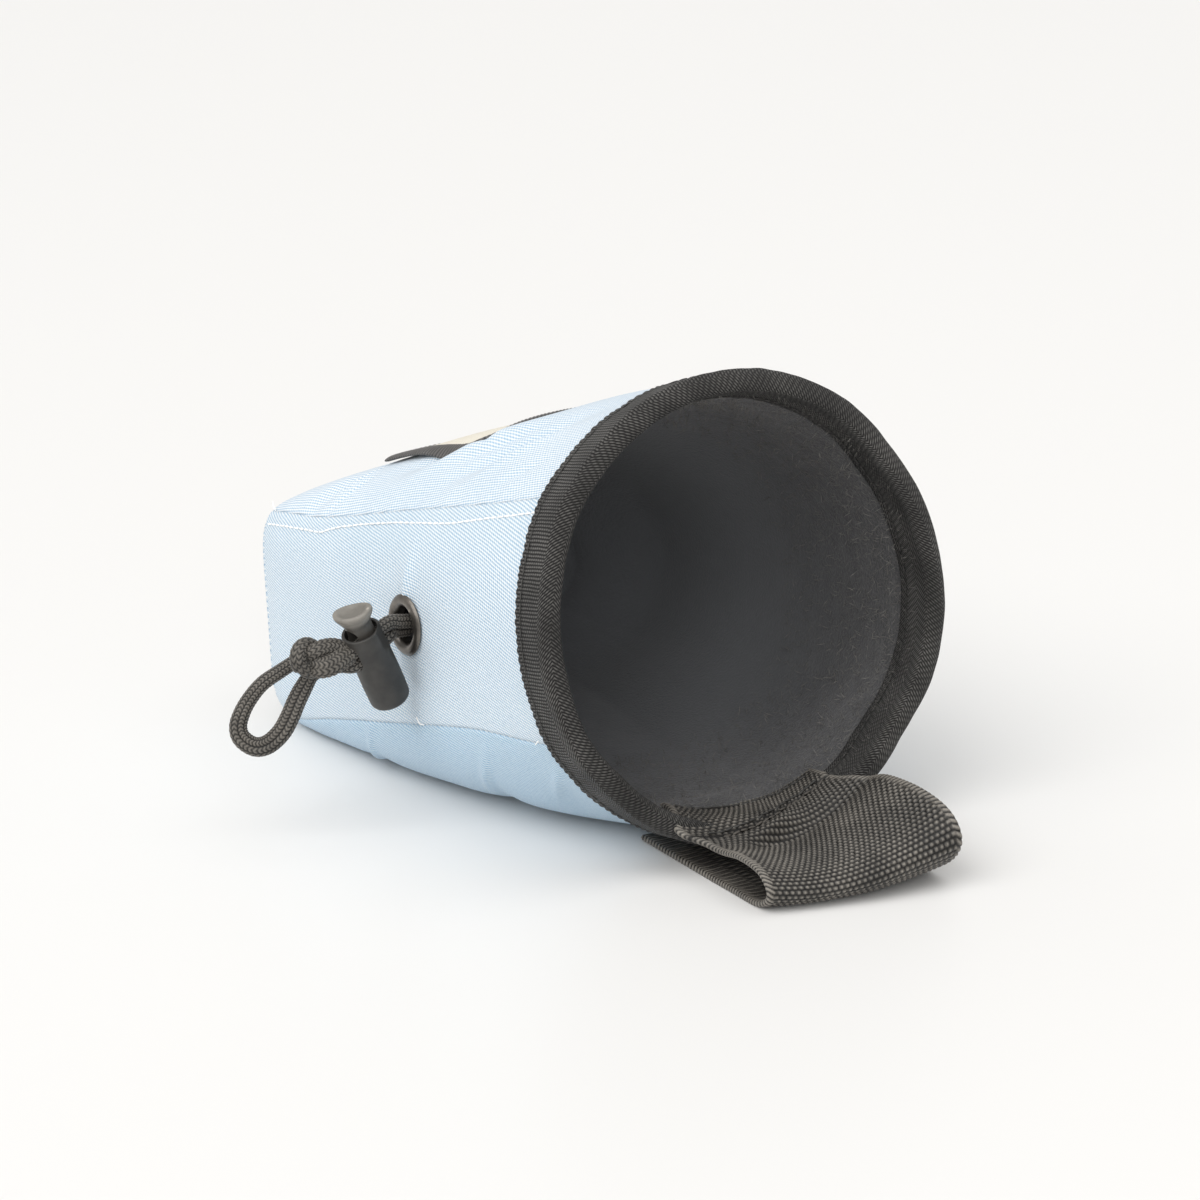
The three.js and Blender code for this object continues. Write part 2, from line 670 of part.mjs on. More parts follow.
function eyeletGeometry() {
  const back = -(clothThickness + 2 * pieceGap);
  const outerWall = eyeletHoleRadius + eyeletWall;
  const rollRadius = eyeletFlangeRadius - 1.6;
  const profile = [
    [eyeletHoleRadius, back - eyeletWall * 0.5],
    [outerWall, back - eyeletWall],
    [rollRadius, back - eyeletWall * 0.8],
    [rollRadius, back],
    [outerWall, back],
    [outerWall, pieceGap],
    [eyeletFlangeRadius, pieceGap],
    [eyeletFlangeRadius - 0.3, pieceGap + eyeletFlangeHeight * 0.6],
    [eyeletFlangeRadius - 1.4, pieceGap + eyeletFlangeHeight],
    [eyeletHoleRadius + 0.9, pieceGap + eyeletFlangeHeight * 0.8],
    [eyeletHoleRadius, pieceGap],
    [eyeletHoleRadius, back - eyeletWall * 0.5],
  ];
  return latheGeometry(profile, 24);
}

// The near gusset, with the eyelet's hole through it
function leftGussetGeometry() {
  const cutter = new THREE.CylinderGeometry(
    eyeletHoleRadius + eyeletWall + pieceGap,
    eyeletHoleRadius + eyeletWall + pieceGap,
    8 * clothThickness,
    24,
  );
  cutter.rotateX(Math.PI / 2);
  cutter.applyQuaternion(eyeletTurn);
  cutter.translate(eyeletCentre.x, eyeletCentre.y, eyeletCentre.z);
  return fromManifold(toManifold(panelGeometry(panels.left)).subtract(toManifold(cutter)));
}

// A rounded slot along X, from its lowest to its highest point
function slotCutter(low, high) {
  const half = slotWidth / 2;
  const length = 4 * barrelRadius;
  const shape = new THREE.Shape();
  shape.absarc(0, high - half, half, 0, Math.PI);
  shape.absarc(0, low + half, half, Math.PI, 2 * Math.PI);
  const geometry = new THREE.ExtrudeGeometry(shape, { depth: length, bevelEnabled: false, curveSegments: 6 });
  geometry.translate(0, 0, -length / 2);
  const basis = new THREE.Matrix4().makeBasis(
    new THREE.Vector3(0, 1, 0),
    new THREE.Vector3(0, 0, 1),
    new THREE.Vector3(1, 0, 0),
  );
  return geometry.applyMatrix4(basis);
}

function barrelGeometry() {
  const cup = latheGeometry(
    [
      [0, -barrelBottom],
      [barrelRadius * 0.72, -barrelBottom],
      [barrelRadius * 0.92, -barrelBottom + 0.6],
      [barrelRadius, -barrelBottom + 1.8],
      [barrelRadius, barrelRim - 0.5],
      [barrelRadius - 0.25, barrelRim],
      [barrelBoreRadius + 0.2, barrelRim],
      [barrelBoreRadius, barrelRim - 0.4],
      [barrelBoreRadius, barrelFloor - barrelBottom],
      [0, barrelFloor - barrelBottom],
    ],
    20,
  );
  let solid = toManifold(cup).subtract(toManifold(slotCutter(-slotHalfHeight, slotHalfHeight)));
  const flatBottom = -slotHalfHeight - 2.5;
  const flatTop = barrelRim + 1;
  for (const side of [-1, 1]) {
    const block = new THREE.BoxGeometry(barrelRadius, 4 * barrelRadius, flatTop - flatBottom);
    block.translate(side * (barrelFlat + barrelRadius / 2), 0, (flatTop + flatBottom) / 2);
    solid = solid.subtract(toManifold(block));
  }
  return fromManifold(solid);
}

function plungerGeometry() {
  const underHead = barrelRim + plungerExposed;
  const top = underHead + plungerHeadThickness;
  const stem = latheGeometry(
    [
      [0, -slotHalfHeight - plungerFoot],
      [plungerRadius - 0.4, -slotHalfHeight - plungerFoot],
      [plungerRadius, -slotHalfHeight - plungerFoot + 0.4],
      [plungerRadius, underHead],
      [mix(plungerRadius, plungerHeadRadius, 0.45), underHead + 0.45],
      [plungerHeadRadius, underHead + 1.1],
      [plungerHeadRadius, underHead + 1.7],
      [plungerHeadRadius - 0.5, top - 0.15],
      [plungerHeadRadius - 1.5, top],
      [0, top - 0.3],
    ],
    20,
  );
  const slot = slotCutter(-slotHalfHeight, slotHalfHeight + plungerTravel);
  return fromManifold(toManifold(stem).subtract(toManifold(slot)));
}

// Cords: a tube along a route, and the knot as a lump with two wraps round it

function cordGeometry(route, steps) {
  const curve = new THREE.CatmullRomCurve3(route.map(([x, y, z]) => new THREE.Vector3(x, y, z)));
  const section = new THREE.Shape();
  for (let side = 0; side < cordSides; side += 1) {
    const turn = ((side + 0.5) / cordSides) * 2 * Math.PI;
    const x = (cordDiameter / 2) * Math.cos(turn);
    const y = (cordDiameter / 2) * Math.sin(turn);
    if (side === 0) {
      section.moveTo(x, y);
    } else {
      section.lineTo(x, y);
    }
  }
  return new THREE.ExtrudeGeometry(section, { steps, extrudePath: curve, bevelEnabled: false });
}

function knotGeometry() {
  const core = new THREE.SphereGeometry(1, 12, 8);
  core.scale(knotHalfLength, knotHalfHeight, knotHalfHeight * 0.9);
  const wrap = (place, lean) => {
    const ring = new THREE.TorusGeometry(knotHalfHeight - cordDiameter / 2 + 0.5, cordDiameter / 2, 7, 12);
    ring.rotateY(Math.PI / 2 + lean);
    ring.translate(place, 0, 0);
    return toManifold(ring);
  };
  const solid = toManifold(core)
    .add(wrap(-knotHalfLength * 0.3, 0.35))
    .add(wrap(knotHalfLength * 0.3, -0.25));
  return fromManifold(solid);
}

// Assembly

const bag = new THREE.Group();
const cordPieces = new THREE.Group();

function addMesh(group, name, geometry, material) {
  const mesh = new THREE.Mesh(geometry, material);
  mesh.name = name;
  group.add(mesh);
  return mesh;
}

addMesh(bag, "front_panel", panelGeometry(panels.front), cottonBlue);
addMesh(bag, "back_panel", panelGeometry(panels.back), cottonBlue);
addMesh(bag, "left_gusset", leftGussetGeometry(), cottonBlue);
addMesh(bag, "right_gusset", panelGeometry(panels.right), cottonBlue);
addMesh(bag, "base_panel", baseGeometry(), cottonBlue);
addMesh(bag, "fleece_lining", liningGeometry(), fleeceBlack);
addMesh(bag, "rim_binding", bindingGeometry(), tapeBlack);
addMesh(bag, "belt_loop", beltLoopGeometry(), webbingBlack);
addMesh(bag, "patch_ground", patchGroundGeometry(), patchCream);
addMesh(bag, "patch_border", patchBorderGeometry(), patchBlack);

const eyelet = addMesh(bag, "eyelet", eyeletGeometry(), gunmetal);
eyelet.quaternion.copy(eyeletTurn);
eyelet.position.copy(eyeletCentre);

addMesh(cordPieces, "drawcord_upper_strand", cordGeometry(upperStrandRoute, 6), cordBlack);
addMesh(cordPieces, "drawcord_lower_strand", cordGeometry(lowerStrandRoute, 6), cordBlack);
addMesh(cordPieces, "drawcord_bight", cordGeometry(bightRoute, 20), cordBlack);

const knot = addMesh(cordPieces, "drawcord_knot", knotGeometry(), cordBlack);
knot.quaternion.setFromUnitVectors(new THREE.Vector3(1, 0, 0), knotDirection.normalize());
knot.position.copy(knotCentre);

const cordLock = new THREE.Group();
const lockUp = lockAxis.clone().normalize();
const lockSide = new THREE.Vector3().crossVectors(lockUp, lockCordDirection).normalize();
const lockAlong = new THREE.Vector3().crossVectors(lockSide, lockUp);
cordLock.quaternion.setFromRotationMatrix(new THREE.Matrix4().makeBasis(lockAlong, lockSide, lockUp));
cordLock.position.copy(lockCentre);
addMesh(cordLock, "cord_lock_barrel", barrelGeometry(), lockPlastic);
addMesh(cordLock, "cord_lock_plunger", plungerGeometry(), lockPlastic);
cordPieces.add(cordLock);

const bounds = new THREE.Box3().setFromObject(bag);
const middle = bounds.getCenter(new THREE.Vector3());
const chalkBag = new THREE.Group();
chalkBag.add(bag, cordPieces);
chalkBag.position.set(-middle.x, -middle.y, -bounds.min.z);

export default chalkBag;
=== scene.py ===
import math
import random

import bmesh
import bpy
import numpy as np
from mathutils import Matrix, Vector


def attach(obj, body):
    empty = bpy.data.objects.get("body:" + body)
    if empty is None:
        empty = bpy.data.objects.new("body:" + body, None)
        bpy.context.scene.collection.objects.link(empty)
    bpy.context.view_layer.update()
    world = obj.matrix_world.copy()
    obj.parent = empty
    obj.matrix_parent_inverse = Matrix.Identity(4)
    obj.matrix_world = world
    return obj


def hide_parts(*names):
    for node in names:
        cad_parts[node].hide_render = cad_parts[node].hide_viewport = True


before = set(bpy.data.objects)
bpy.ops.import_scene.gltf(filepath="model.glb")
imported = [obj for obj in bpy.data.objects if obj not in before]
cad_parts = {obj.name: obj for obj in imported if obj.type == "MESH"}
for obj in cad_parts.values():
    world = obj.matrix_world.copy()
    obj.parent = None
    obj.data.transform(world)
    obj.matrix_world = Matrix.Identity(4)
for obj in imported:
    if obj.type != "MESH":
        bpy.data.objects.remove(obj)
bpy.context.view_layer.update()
mm = 0.001

# The set: a pale floor that runs out of the picture, a soft key light from the left, weaker
# ones from above and the front, and a camera before the mouth, on the eyelet's side.

lip_on_floor = np.array([0.14, -50.02, 0.0]) * mm
camera_stand = Vector((-405.1, -590.7, 279.8)) * mm + Vector(lip_on_floor)
camera_aim = Vector((-9.4, 55.0, 51.2)) * mm + Vector(lip_on_floor)
white_light = (1.0, 0.995, 0.985)
floor_white = (0.82, 0.815, 0.806, 1.0)

camera = bpy.data.objects.new("camera", bpy.data.cameras.new("camera"))
bpy.context.collection.objects.link(camera)
camera.location = camera_stand
camera.rotation_euler = (camera_aim - camera_stand).to_track_quat("-Z", "Y").to_euler()
camera.data.sensor_width = 36
camera.data.lens = 90
camera.data.clip_start = 0.01
bpy.context.scene.camera = camera
bpy.context.scene.view_settings.view_transform = "Standard"


def sun(name, tilt, turn, strength, angle):
    lamp = bpy.data.lights.new(name, "SUN")
    lamp.energy = strength
    lamp.angle = math.radians(angle)
    lamp.color = white_light
    holder = bpy.data.objects.new(name, lamp)
    holder.rotation_euler = (math.radians(tilt), 0, math.radians(turn))
    bpy.context.collection.objects.link(holder)


sun("key_light", 42, -80, 1.6, 50)
sun("overhead_light", 12, 60, 0.78, 60)
sun("front_light", 64, -32, 0.74, 40)

world = bpy.data.worlds.new("studio")
world.use_nodes = True
world.node_tree.nodes["Background"].inputs["Color"].default_value = (1.0, 0.99, 0.975, 1.0)
world.node_tree.nodes["Background"].inputs["Strength"].default_value = 0.54
bpy.context.scene.world = world


def add_node(tree, kind, inputs=(), **settings):
    node = tree.nodes.new(kind)
    for name, value in settings.items():
        setattr(node, name, value)
    for name, value in dict(inputs).items():
        if isinstance(value, bpy.types.NodeSocket):
            tree.links.new(value, node.inputs[name])
        else:
            node.inputs[name].default_value = value
    return node


def calculate(tree, operation, *values):
    return add_node(tree, "ShaderNodeMath", enumerate(values), operation=operation).outputs[0]


def blend_colours(tree, share, low, high):
    ramp = add_node(tree, "ShaderNodeMix", {"Factor": share}, data_type="RGBA")
    for slot, colour in ((6, low), (7, high)):
        if isinstance(colour, bpy.types.NodeSocket):
            tree.links.new(colour, ramp.inputs[slot])
        else:
            ramp.inputs[slot].default_value = (*colour, 1.0)
    return ramp.outputs[2]


def finish_material(name, roughness, specular=0.5):
    material = bpy.data.materials.new(name)
    material.use_nodes = True
    shader = material.node_tree.nodes["Principled BSDF"]
    shader.inputs["Roughness"].default_value = roughness
    shader.inputs["Specular IOR Level"].default_value = specular
    return material, material.node_tree, shader


def bump(tree, shader, height, distance, strength=1.0, under=None):
    node = add_node(tree, "ShaderNodeBump", {"Height": height, "Distance": distance, "Strength": strength})
    if under is not None:
        tree.links.new(under, node.inputs["Normal"])
    tree.links.new(node.outputs["Normal"], shader.inputs["Normal"])
    return node.outputs["Normal"]


def colour_of(tree, shader, colour):
    tree.links.new(colour, shader.inputs["Base Color"])


floor_mesh = bmesh.new()
bmesh.ops.create_grid(floor_mesh, x_segments=1, y_segments=1, size=30)
floor_data = bpy.data.meshes.new("floor")
floor_mesh.to_mesh(floor_data)
floor_mesh.free()
floor = bpy.data.objects.new("floor", floor_data)
bpy.context.collection.objects.link(floor)
floor_finish, tree, shader = finish_material("pale_floor", 0.42, 0.35)
shader.inputs["Base Color"].default_value = floor_white
floor_data.materials.append(floor_finish)

# The drawcord: one braided polyester cord, 3.4 mm thick. It comes out of the eyelet, runs
# through the lock, is tied in an overhand knot with its own return, and forms a bight.

cord_diameter = 3.4 * mm
strand_out = [
    (-60.4, 64.0, 51.3), (-64.2, 63.4, 52.0), (-67.6, 62.6, 52.6),
    (-70.7, 61.7, 51.9), (-76.0, 60.6, 49.4), (-80.9, 59.5, 46.9),
]
through_knot = [(-84.6, 61.0, 47.2), (-88.3, 63.0, 47.0), (-91.4, 64.7, 46.3)]
bight = [
    (-93.4, 65.6, 45.4), (-97, 67.5, 42.8), (-101, 69, 40), (-104, 70, 36.5), (-106.5, 70, 33),
    (-108, 69.5, 29.5), (-107.5, 68.5, 26.5), (-105, 66.5, 24.5), (-102, 65, 25), (-99, 63.5, 28),
    (-96.5, 63.5, 31.5), (-94.3, 63.7, 35.5), (-91.9, 63.8, 39.2),
]
back_through_knot = [(-89.8, 63.2, 42.2), (-86.6, 61.9, 43.6), (-82.9, 60.6, 43.9)]
strand_back = [
    (-79.3, 60.0, 43.6), (-74.4, 61.0, 46.0), (-69.2, 62.2, 48.6),
    (-66.8, 64.2, 49.1), (-64.0, 65.9, 48.7), (-60.4, 66.6, 48.4),
]
# The braid's colour runs from painted shade in its hollows to a painted highlight on its crowns.
cord_painted_hollow_shade = (0.006, 0.0055, 0.005)
cord_painted_crown_highlight = (0.165, 0.15, 0.13)


def smooth_run(points, steps):
    """Points on a smooth curve through a row of points, evenly spaced along it."""
    points = np.asarray(points, float)
    padded = np.concatenate([2 * points[:1] - points[1:2], points, 2 * points[-1:] - points[-2:-1]])
    fine = []
    for first in range(len(points) - 1):
        a, b, c, d = padded[first : first + 4]
        for part in np.linspace(0, 1, 16, endpoint=first == len(points) - 2):
            square, cube = part * part, part**3
            curve = 2 * b + (c - a) * part + (2 * a - 5 * b + 4 * c - d) * square
            fine.append((curve + (3 * b - a - 3 * c + d) * cube) / 2)
    fine = np.array(fine)
    lengths = np.linalg.norm(np.diff(fine, axis=0), axis=-1)
    travelled = np.concatenate([[0], np.cumsum(lengths if lengths.ndim == 1 else lengths.mean(axis=1))])
    wanted = np.linspace(0, travelled[-1], steps)
    flat = fine.reshape(len(fine), -1)
    even = np.stack([np.interp(wanted, travelled, flat[:, column]) for column in range(flat.shape[1])], axis=1)
    return even.reshape(steps, *fine.shape[1:]), travelled[-1]


def carried_frames(points):
    """Two directions square to a run at each of its points, turning as little as they can."""
    heading = np.gradient(points, axis=0)
    heading /= np.linalg.norm(heading, axis=1, keepdims=True)
    side = np.cross(heading[0], (0.0, 0.3, 1.0))
    sides = []
    for direction in heading:
        side = side - direction * np.dot(side, direction)
        side = side / np.linalg.norm(side)
        sides.append(side)
    sides = np.array(sides)
    return sides, np.cross(heading, sides)


def sheet(name, columns, rows, size, place, material, inside=None, welded=False, closed=False):
    """A grid whose points are put in place by their shares across and along it. Its UV map is
    in metres, and the ridge attribute says how far a point stands up in its weave."""
    grid = bmesh.new()
    grid.loops.layers.uv.new("UVMap")
    bmesh.ops.create_grid(grid, x_segments=columns, y_segments=rows, size=0.5, calc_uvs=True)
    data = bpy.data.meshes.new(name)
    grid.to_mesh(data)
    corners = np.empty(len(data.vertices) * 3)
    data.vertices.foreach_get("co", corners)
    shares = corners.reshape(-1, 3)[:, :2]
    shares = (shares - shares.min(axis=0)) / np.ptp(shares, axis=0)
    points, ridge = place(shares[:, 0], shares[:, 1])
    data.vertices.foreach_set("co", points.reshape(-1))
    data.attributes.new("ridge", "FLOAT", "POINT").data.foreach_set("value", ridge)
    uv = np.empty(len(data.loops) * 2)
    data.uv_layers[0].data.foreach_get("uv", uv)
    data.uv_layers[0].data.foreach_set("uv", (uv.reshape(-1, 2) * size).reshape(-1))
    grid.clear()
    grid.from_mesh(data)
    if welded:
        bmesh.ops.remove_doubles(grid, verts=grid.verts, dist=1e-6)
    if closed:
        bmesh.ops.holes_fill(grid, edges=grid.edges)
        bmesh.ops.recalc_face_normals(grid, faces=grid.faces)
    elif inside is not None:
        grid.normal_update()
        looks = sum((face.calc_center_median() - Vector(inside)).dot(face.normal) for face in grid.faces)
        if looks < 0:
            bmesh.ops.reverse_faces(grid, faces=grid.faces)
    grid.to_mesh(data)
    grid.free()
    data.shade_smooth()
    piece = bpy.data.objects.new(name, data)
    bpy.context.collection.objects.link(piece)
    data.materials.append(material)
    return piece


def braid(around, along, columns=8, pitch=1.05 * mm):
    """The relief of a round braid: columns of small V shapes, each a pair of slanted yarns."""
    column = around * columns
    beside = np.abs(np.mod(column, 1) - 0.5) * 2
    stagger = 0.5 * np.mod(np.floor(column), 2)
    yarn = np.abs(np.sin(np.pi * (along / pitch + stagger - 0.62 * beside)))
    return np.clip(yarn**0.7 * (1 - beside**6) ** 0.5 * (0.72 + 0.28 * np.minimum(beside * 4, 1)), 0, 1)


def braided_tube(name, route, diameter, steps, sides, material, flat=0.0, facing=None, columns=8, parting=0.9):
    """A braided cord along a route. Where it is flat it is wider than its diameter, in the
    plane that faces a direction, and its two halves part along a groove."""
    run, length = smooth_run(route, steps)
    first, second = carried_frames(run)
    if facing is not None:
        heading = np.cross(first, second)
        second = facing - heading * (heading @ facing)[:, None]
        second /= np.linalg.norm(second, axis=1, keepdims=True)
        first = np.cross(second, heading)
    flatness = np.interp(np.linspace(0, 1, steps), np.linspace(0, 1, np.size(flat)), np.atleast_1d(flat))

    def place(across, along):
        row = np.rint(along * (steps - 1)).astype(int)
        relief = braid(across, along * length, columns)
        turn = across * 2 * np.pi
        press = flatness[row]
        groove = parting * press * np.exp(-((np.cos(turn) / 0.2) ** 2))
        radius = diameter / 2 * (0.95 + 0.17 * relief)
        wide = radius * np.cos(turn) * (1 + press)
        high = radius * np.sin(turn) * (1 - 0.4 * press - groove)
        return run[row] + first[row] * wide[:, None] + second[row] * high[:, None], relief

    size = (np.pi * diameter, length)
    piece = sheet(name, sides, steps - 1, size, place, material, welded=True, closed=True)
    return piece, run, length


def socket_group(name, inputs, outputs):
    tree = bpy.data.node_groups.new(name, "ShaderNodeTree")
    for label, kind, value in inputs:
        socket = tree.interface.new_socket(label, in_out="INPUT", socket_type=kind)
        if value is not None:
            socket.default_value = value
    for label in outputs:
        tree.interface.new_socket(label, in_out="OUTPUT", socket_type="NodeSocketFloat")
    return tree, tree.nodes.new("NodeGroupInput").outputs, tree.nodes.new("NodeGroupOutput").inputs


# Yarn grain: the fine fibres of spun or twisted yarn, drawn out along one direction
yarn_grain, given, result = socket_group(
    "yarn grain",
    [("Place", "NodeSocketVector", None), ("Scale", "NodeSocketFloat", 1500.0), ("Slubs", "NodeSocketFloat", 60.0)],
    ["Fibre", "Slub"],
)
fibre = add_node(yarn_grain, "ShaderNodeTexNoise", {"Vector": given["Place"], "Scale": given["Scale"], "Detail": 3.0})
slub = add_node(yarn_grain, "ShaderNodeTexNoise", {"Vector": given["Place"], "Scale": given["Slubs"], "Detail": 4.0})
yarn_grain.links.new(fibre.outputs["Fac"], result["Fibre"])
yarn_grain.links.new(slub.outputs["Fac"], result["Slub"])


def yarn_material(name, dark, light, roughness, scale, slubs, sheen=0.25, distance=0.06 * mm, power=1.5):
    """Painted shade in the hollows of a weave and a painted highlight on its crowns, with fine fibres all over."""
    material, tree, shader = finish_material(name, roughness, 0.35)
    shader.inputs["Sheen Weight"].default_value = sheen
    shader.inputs["Sheen Roughness"].default_value = 0.4
    place = add_node(tree, "ShaderNodeTexCoord").outputs["Object"]
    grain = add_node(tree, "ShaderNodeGroup", node_tree=yarn_grain)
    tree.links.new(place, grain.inputs["Place"])
    grain.inputs["Scale"].default_value = scale
    grain.inputs["Slubs"].default_value = slubs
    ridge = add_node(tree, "ShaderNodeAttribute", attribute_name="ridge").outputs["Fac"]
    lift = calculate(tree, "MULTIPLY_ADD", grain.outputs["Fibre"], 0.5, -0.25)
    drift = calculate(tree, "MULTIPLY_ADD", grain.outputs["Slub"], 0.6, -0.3)
    share = calculate(tree, "ADD", calculate(tree, "ADD", ridge, lift), drift)
    share = calculate(tree, "MAXIMUM", calculate(tree, "MINIMUM", share, 1.0), 0.0)
    share = calculate(tree, "POWER", share, power)
    # The ridge attribute moves the colour from painted shade in the hollows to a painted highlight on the crowns.
    colour_of(tree, shader, blend_colours(tree, share, dark, light))
    bump(tree, shader, grain.outputs["Fibre"], distance)
    return material


braided_yarn = yarn_material("braided_cord", cord_painted_hollow_shade, cord_painted_crown_highlight, 0.5, 2600.0, 140.0, power=2.0)
cord_flatness = [0.0] * 9 + [0.02, 0.05, 0.1, 0.2, 0.3, 0.36, 0.36, 0.36, 0.34, 0.3, 0.1] + [0.0] * 7
towards_camera = np.array((camera_stand - camera_aim).normalized())
route = np.array(strand_out + through_knot + bight + back_through_knot + strand_back) * mm + lip_on_floor
drawcord, cord_run, measured = braided_tube(
    "drawcord", route, cord_diameter, 900, 56, braided_yarn, cord_flatness, towards_camera
)
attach(drawcord, "bag")
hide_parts("drawcord_upper_strand", "drawcord_lower_strand", "drawcord_bight")

# The knot: an overhand knot tied with both strands at once and pulled up hard against the
# lock. Two strands lie side by side in it, and a wrap runs round them at the bight's end.

knot_centre = np.array([-87.9, 62.7, 45.9]) * mm + lip_on_floor
knot_out = np.array([-0.93, 0.34, -0.08])
knot_out /= np.linalg.norm(knot_out)
knot_near = towards_camera - knot_out * (knot_out @ towards_camera)
knot_near /= np.linalg.norm(knot_near)
knot_up = np.cross(knot_out, knot_near)
knot_up *= np.sign(knot_up[2])
knot_frame = np.stack([knot_out, knot_up, knot_near])

# Out along the knot, up, and towards the viewer, in millimetres
upper_lay = [(-6.4, 1.7, 0.2), (-4.0, 2.7, 1.3), (-1.4, 2.9, 2.2), (0.8, 2.2, 2.3), (3.4, 0.8, 0.6)]
lower_lay = [(-7.4, 0.5, 0.6), (-5.2, -0.5, 2.1), (-2.6, -1.7, 3.0), (0.0, -2.0, 2.6), (3.0, -1.1, 0.4)]
wrap_turns = np.linspace(-0.75, 5.9, 26)
wrap_lean = math.radians(44)
wrap_across = np.array([math.cos(wrap_lean), 0.0, math.sin(wrap_lean)])
wrap_drift = np.array([-0.62, 0.0, 0.5])
wrap_lay = np.array([
    np.array([2.9, 0.75, 0.3]) + 3.15 * math.cos(turn) * wrap_across
    + 3.1 * math.sin(turn) * np.array([0.0, 1.0, 0.0]) + (turn - 2.6) / 5 * wrap_drift
    for turn in wrap_turns
])
knot_strands = []
for number, (lay, press, size) in enumerate(((upper_lay, 0.12, 1.04), (lower_lay, 0.4, 1.1), (wrap_lay, 0.05, 1.15))):
    placed = np.array(lay) @ knot_frame * mm + knot_centre
    tube, _, _ = braided_tube(
        f"knot_strand_{number}", placed, cord_diameter * size, 300, 52, braided_yarn, press, towards_camera,
        9, 0.12,
    )
    knot_strands.append(tube)


def join_pieces(pieces, name):
    """One mesh of several, each already in its place."""
    whole = bmesh.new()
    for piece in pieces:
        whole.from_mesh(piece.data)
        bpy.data.objects.remove(piece)
    data = bpy.data.meshes.new(name)
    whole.to_mesh(data)
    whole.free()
    data.shade_smooth()
    joined = bpy.data.objects.new(name, data)
    bpy.context.collection.objects.link(joined)
    return joined


knot = join_pieces(knot_strands, "drawcord_knot_strands")
knot.data.materials.append(braided_yarn)
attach(knot, "bag")
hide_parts("drawcord_knot")

# The barrel of the cord lock: moulded matt nylon, round, with a shoulder below its mouth on
# one side, open at the top for the plunger and slotted through for the two strands.

lock_centre = Vector((-75.2, 60.8, 47.7)) * mm + Vector(lip_on_floor)
lock_up = Vector((-0.422, -0.126, 0.898)).normalized()
lock_side = lock_up.cross(Vector((-0.878, -0.191, -0.44))).normalized()
lock_along = lock_side.cross(lock_up)
lock_frame = Matrix((lock_along, lock_side, lock_up)).transposed().to_4x4()
lock_frame.translation = lock_centre
barrel_radius = 5.3 * mm
bore_radius = 4.35 * mm
barrel_rim = 5.5 * mm
barrel_bottom = 18.0 * mm
shoulder_reach = 4.5 * mm
shoulder_height = -1.6 * mm
shoulder_bearing = math.radians(129)
slot_width = 4.2 * mm
slot_half = 3.85 * mm
plastic_grey = (0.028, 0.0268, 0.025)
plastic_worn = (0.085, 0.079, 0.071)


def turned(profile, steps=72):
    """A solid turned from a profile of radius and height, as a bmesh round the Z axis."""
    solid = bmesh.new()
    ring = [solid.verts.new((radius, 0, height)) for radius, height in profile]
    edges = [solid.edges.new(pair) for pair in zip(ring, ring[1:])]
    bmesh.ops.spin(
        solid, geom=ring + edges, cent=(0, 0, 0), axis=(0, 0, 1), angle=2 * math.pi, steps=steps, use_merge=True
    )
    bmesh.ops.remove_doubles(solid, verts=solid.verts, dist=1e-6)
    bmesh.ops.recalc_face_normals(solid, faces=solid.faces)
    return solid


def rounded(corners, radius, steps=5):
    """A profile with each inner corner rounded by up to the radius."""
    profile = [corners[0]]
    for before, corner, after in zip(corners, corners[1:], corners[2:]):
        before, corner, after = (np.array(point, float) for point in (before, corner, after))
        room = min(radius, 0.45 * np.linalg.norm(corner - before), 0.45 * np.linalg.norm(after - corner))
        start = corner + (before - corner) / np.linalg.norm(before - corner) * room
        end = corner + (after - corner) / np.linalg.norm(after - corner) * room
        for part in np.linspace(0, 1, steps):
            profile.append(tuple((1 - part) ** 2 * start + 2 * part * (1 - part) * corner + part**2 * end))
    return profile + [corners[-1]]


def finished(solid, name, place, material, slot_half_height=None, slot_top=None):
    """Puts a turned solid in its place, with the cords' slot cut through it if it has one."""
    data = bpy.data.meshes.new(name)
    solid.to_mesh(data)
    solid.free()
    piece = bpy.data.objects.new(name, data)
    bpy.context.collection.objects.link(piece)
    if slot_half_height is not None:
        cutter = bmesh.new()
        bmesh.ops.create_cube(cutter, size=1.0)
        height = slot_half_height + slot_top
        bmesh.ops.scale(cutter, verts=cutter.verts, vec=(30 * mm, slot_width, height))
        bmesh.ops.translate(cutter, verts=cutter.verts, vec=(0, 0, (slot_top - slot_half_height) / 2))
        along = [edge for edge in cutter.edges if abs(edge.verts[0].co.x - edge.verts[1].co.x) > 20 * mm]
        bmesh.ops.bevel(
            cutter, geom=along, offset=slot_width * 0.48, segments=8, affect="EDGES", profile=0.5, material=-1
        )
        cutter_data = bpy.data.meshes.new("slot_cutter")
        cutter.to_mesh(cutter_data)
        cutter.free()
        cutter_piece = bpy.data.objects.new("slot_cutter", cutter_data)
        bpy.context.collection.objects.link(cutter_piece)
        cut = piece.modifiers.new("slot", "BOOLEAN")
        cut.object = cutter_piece
        cut.solver = "EXACT"
        cut.operation = "DIFFERENCE"
        seen = piece.evaluated_get(bpy.context.evaluated_depsgraph_get())
        piece.data = bpy.data.meshes.new_from_object(seen)
        piece.modifiers.clear()
        bpy.data.objects.remove(cutter_piece)
    piece.data.transform(place)
    piece.data.shade_smooth()
    piece.data.set_sharp_from_angle(angle=math.radians(40))
    piece.data.materials.clear()
    piece.data.materials.append(material)
    return piece


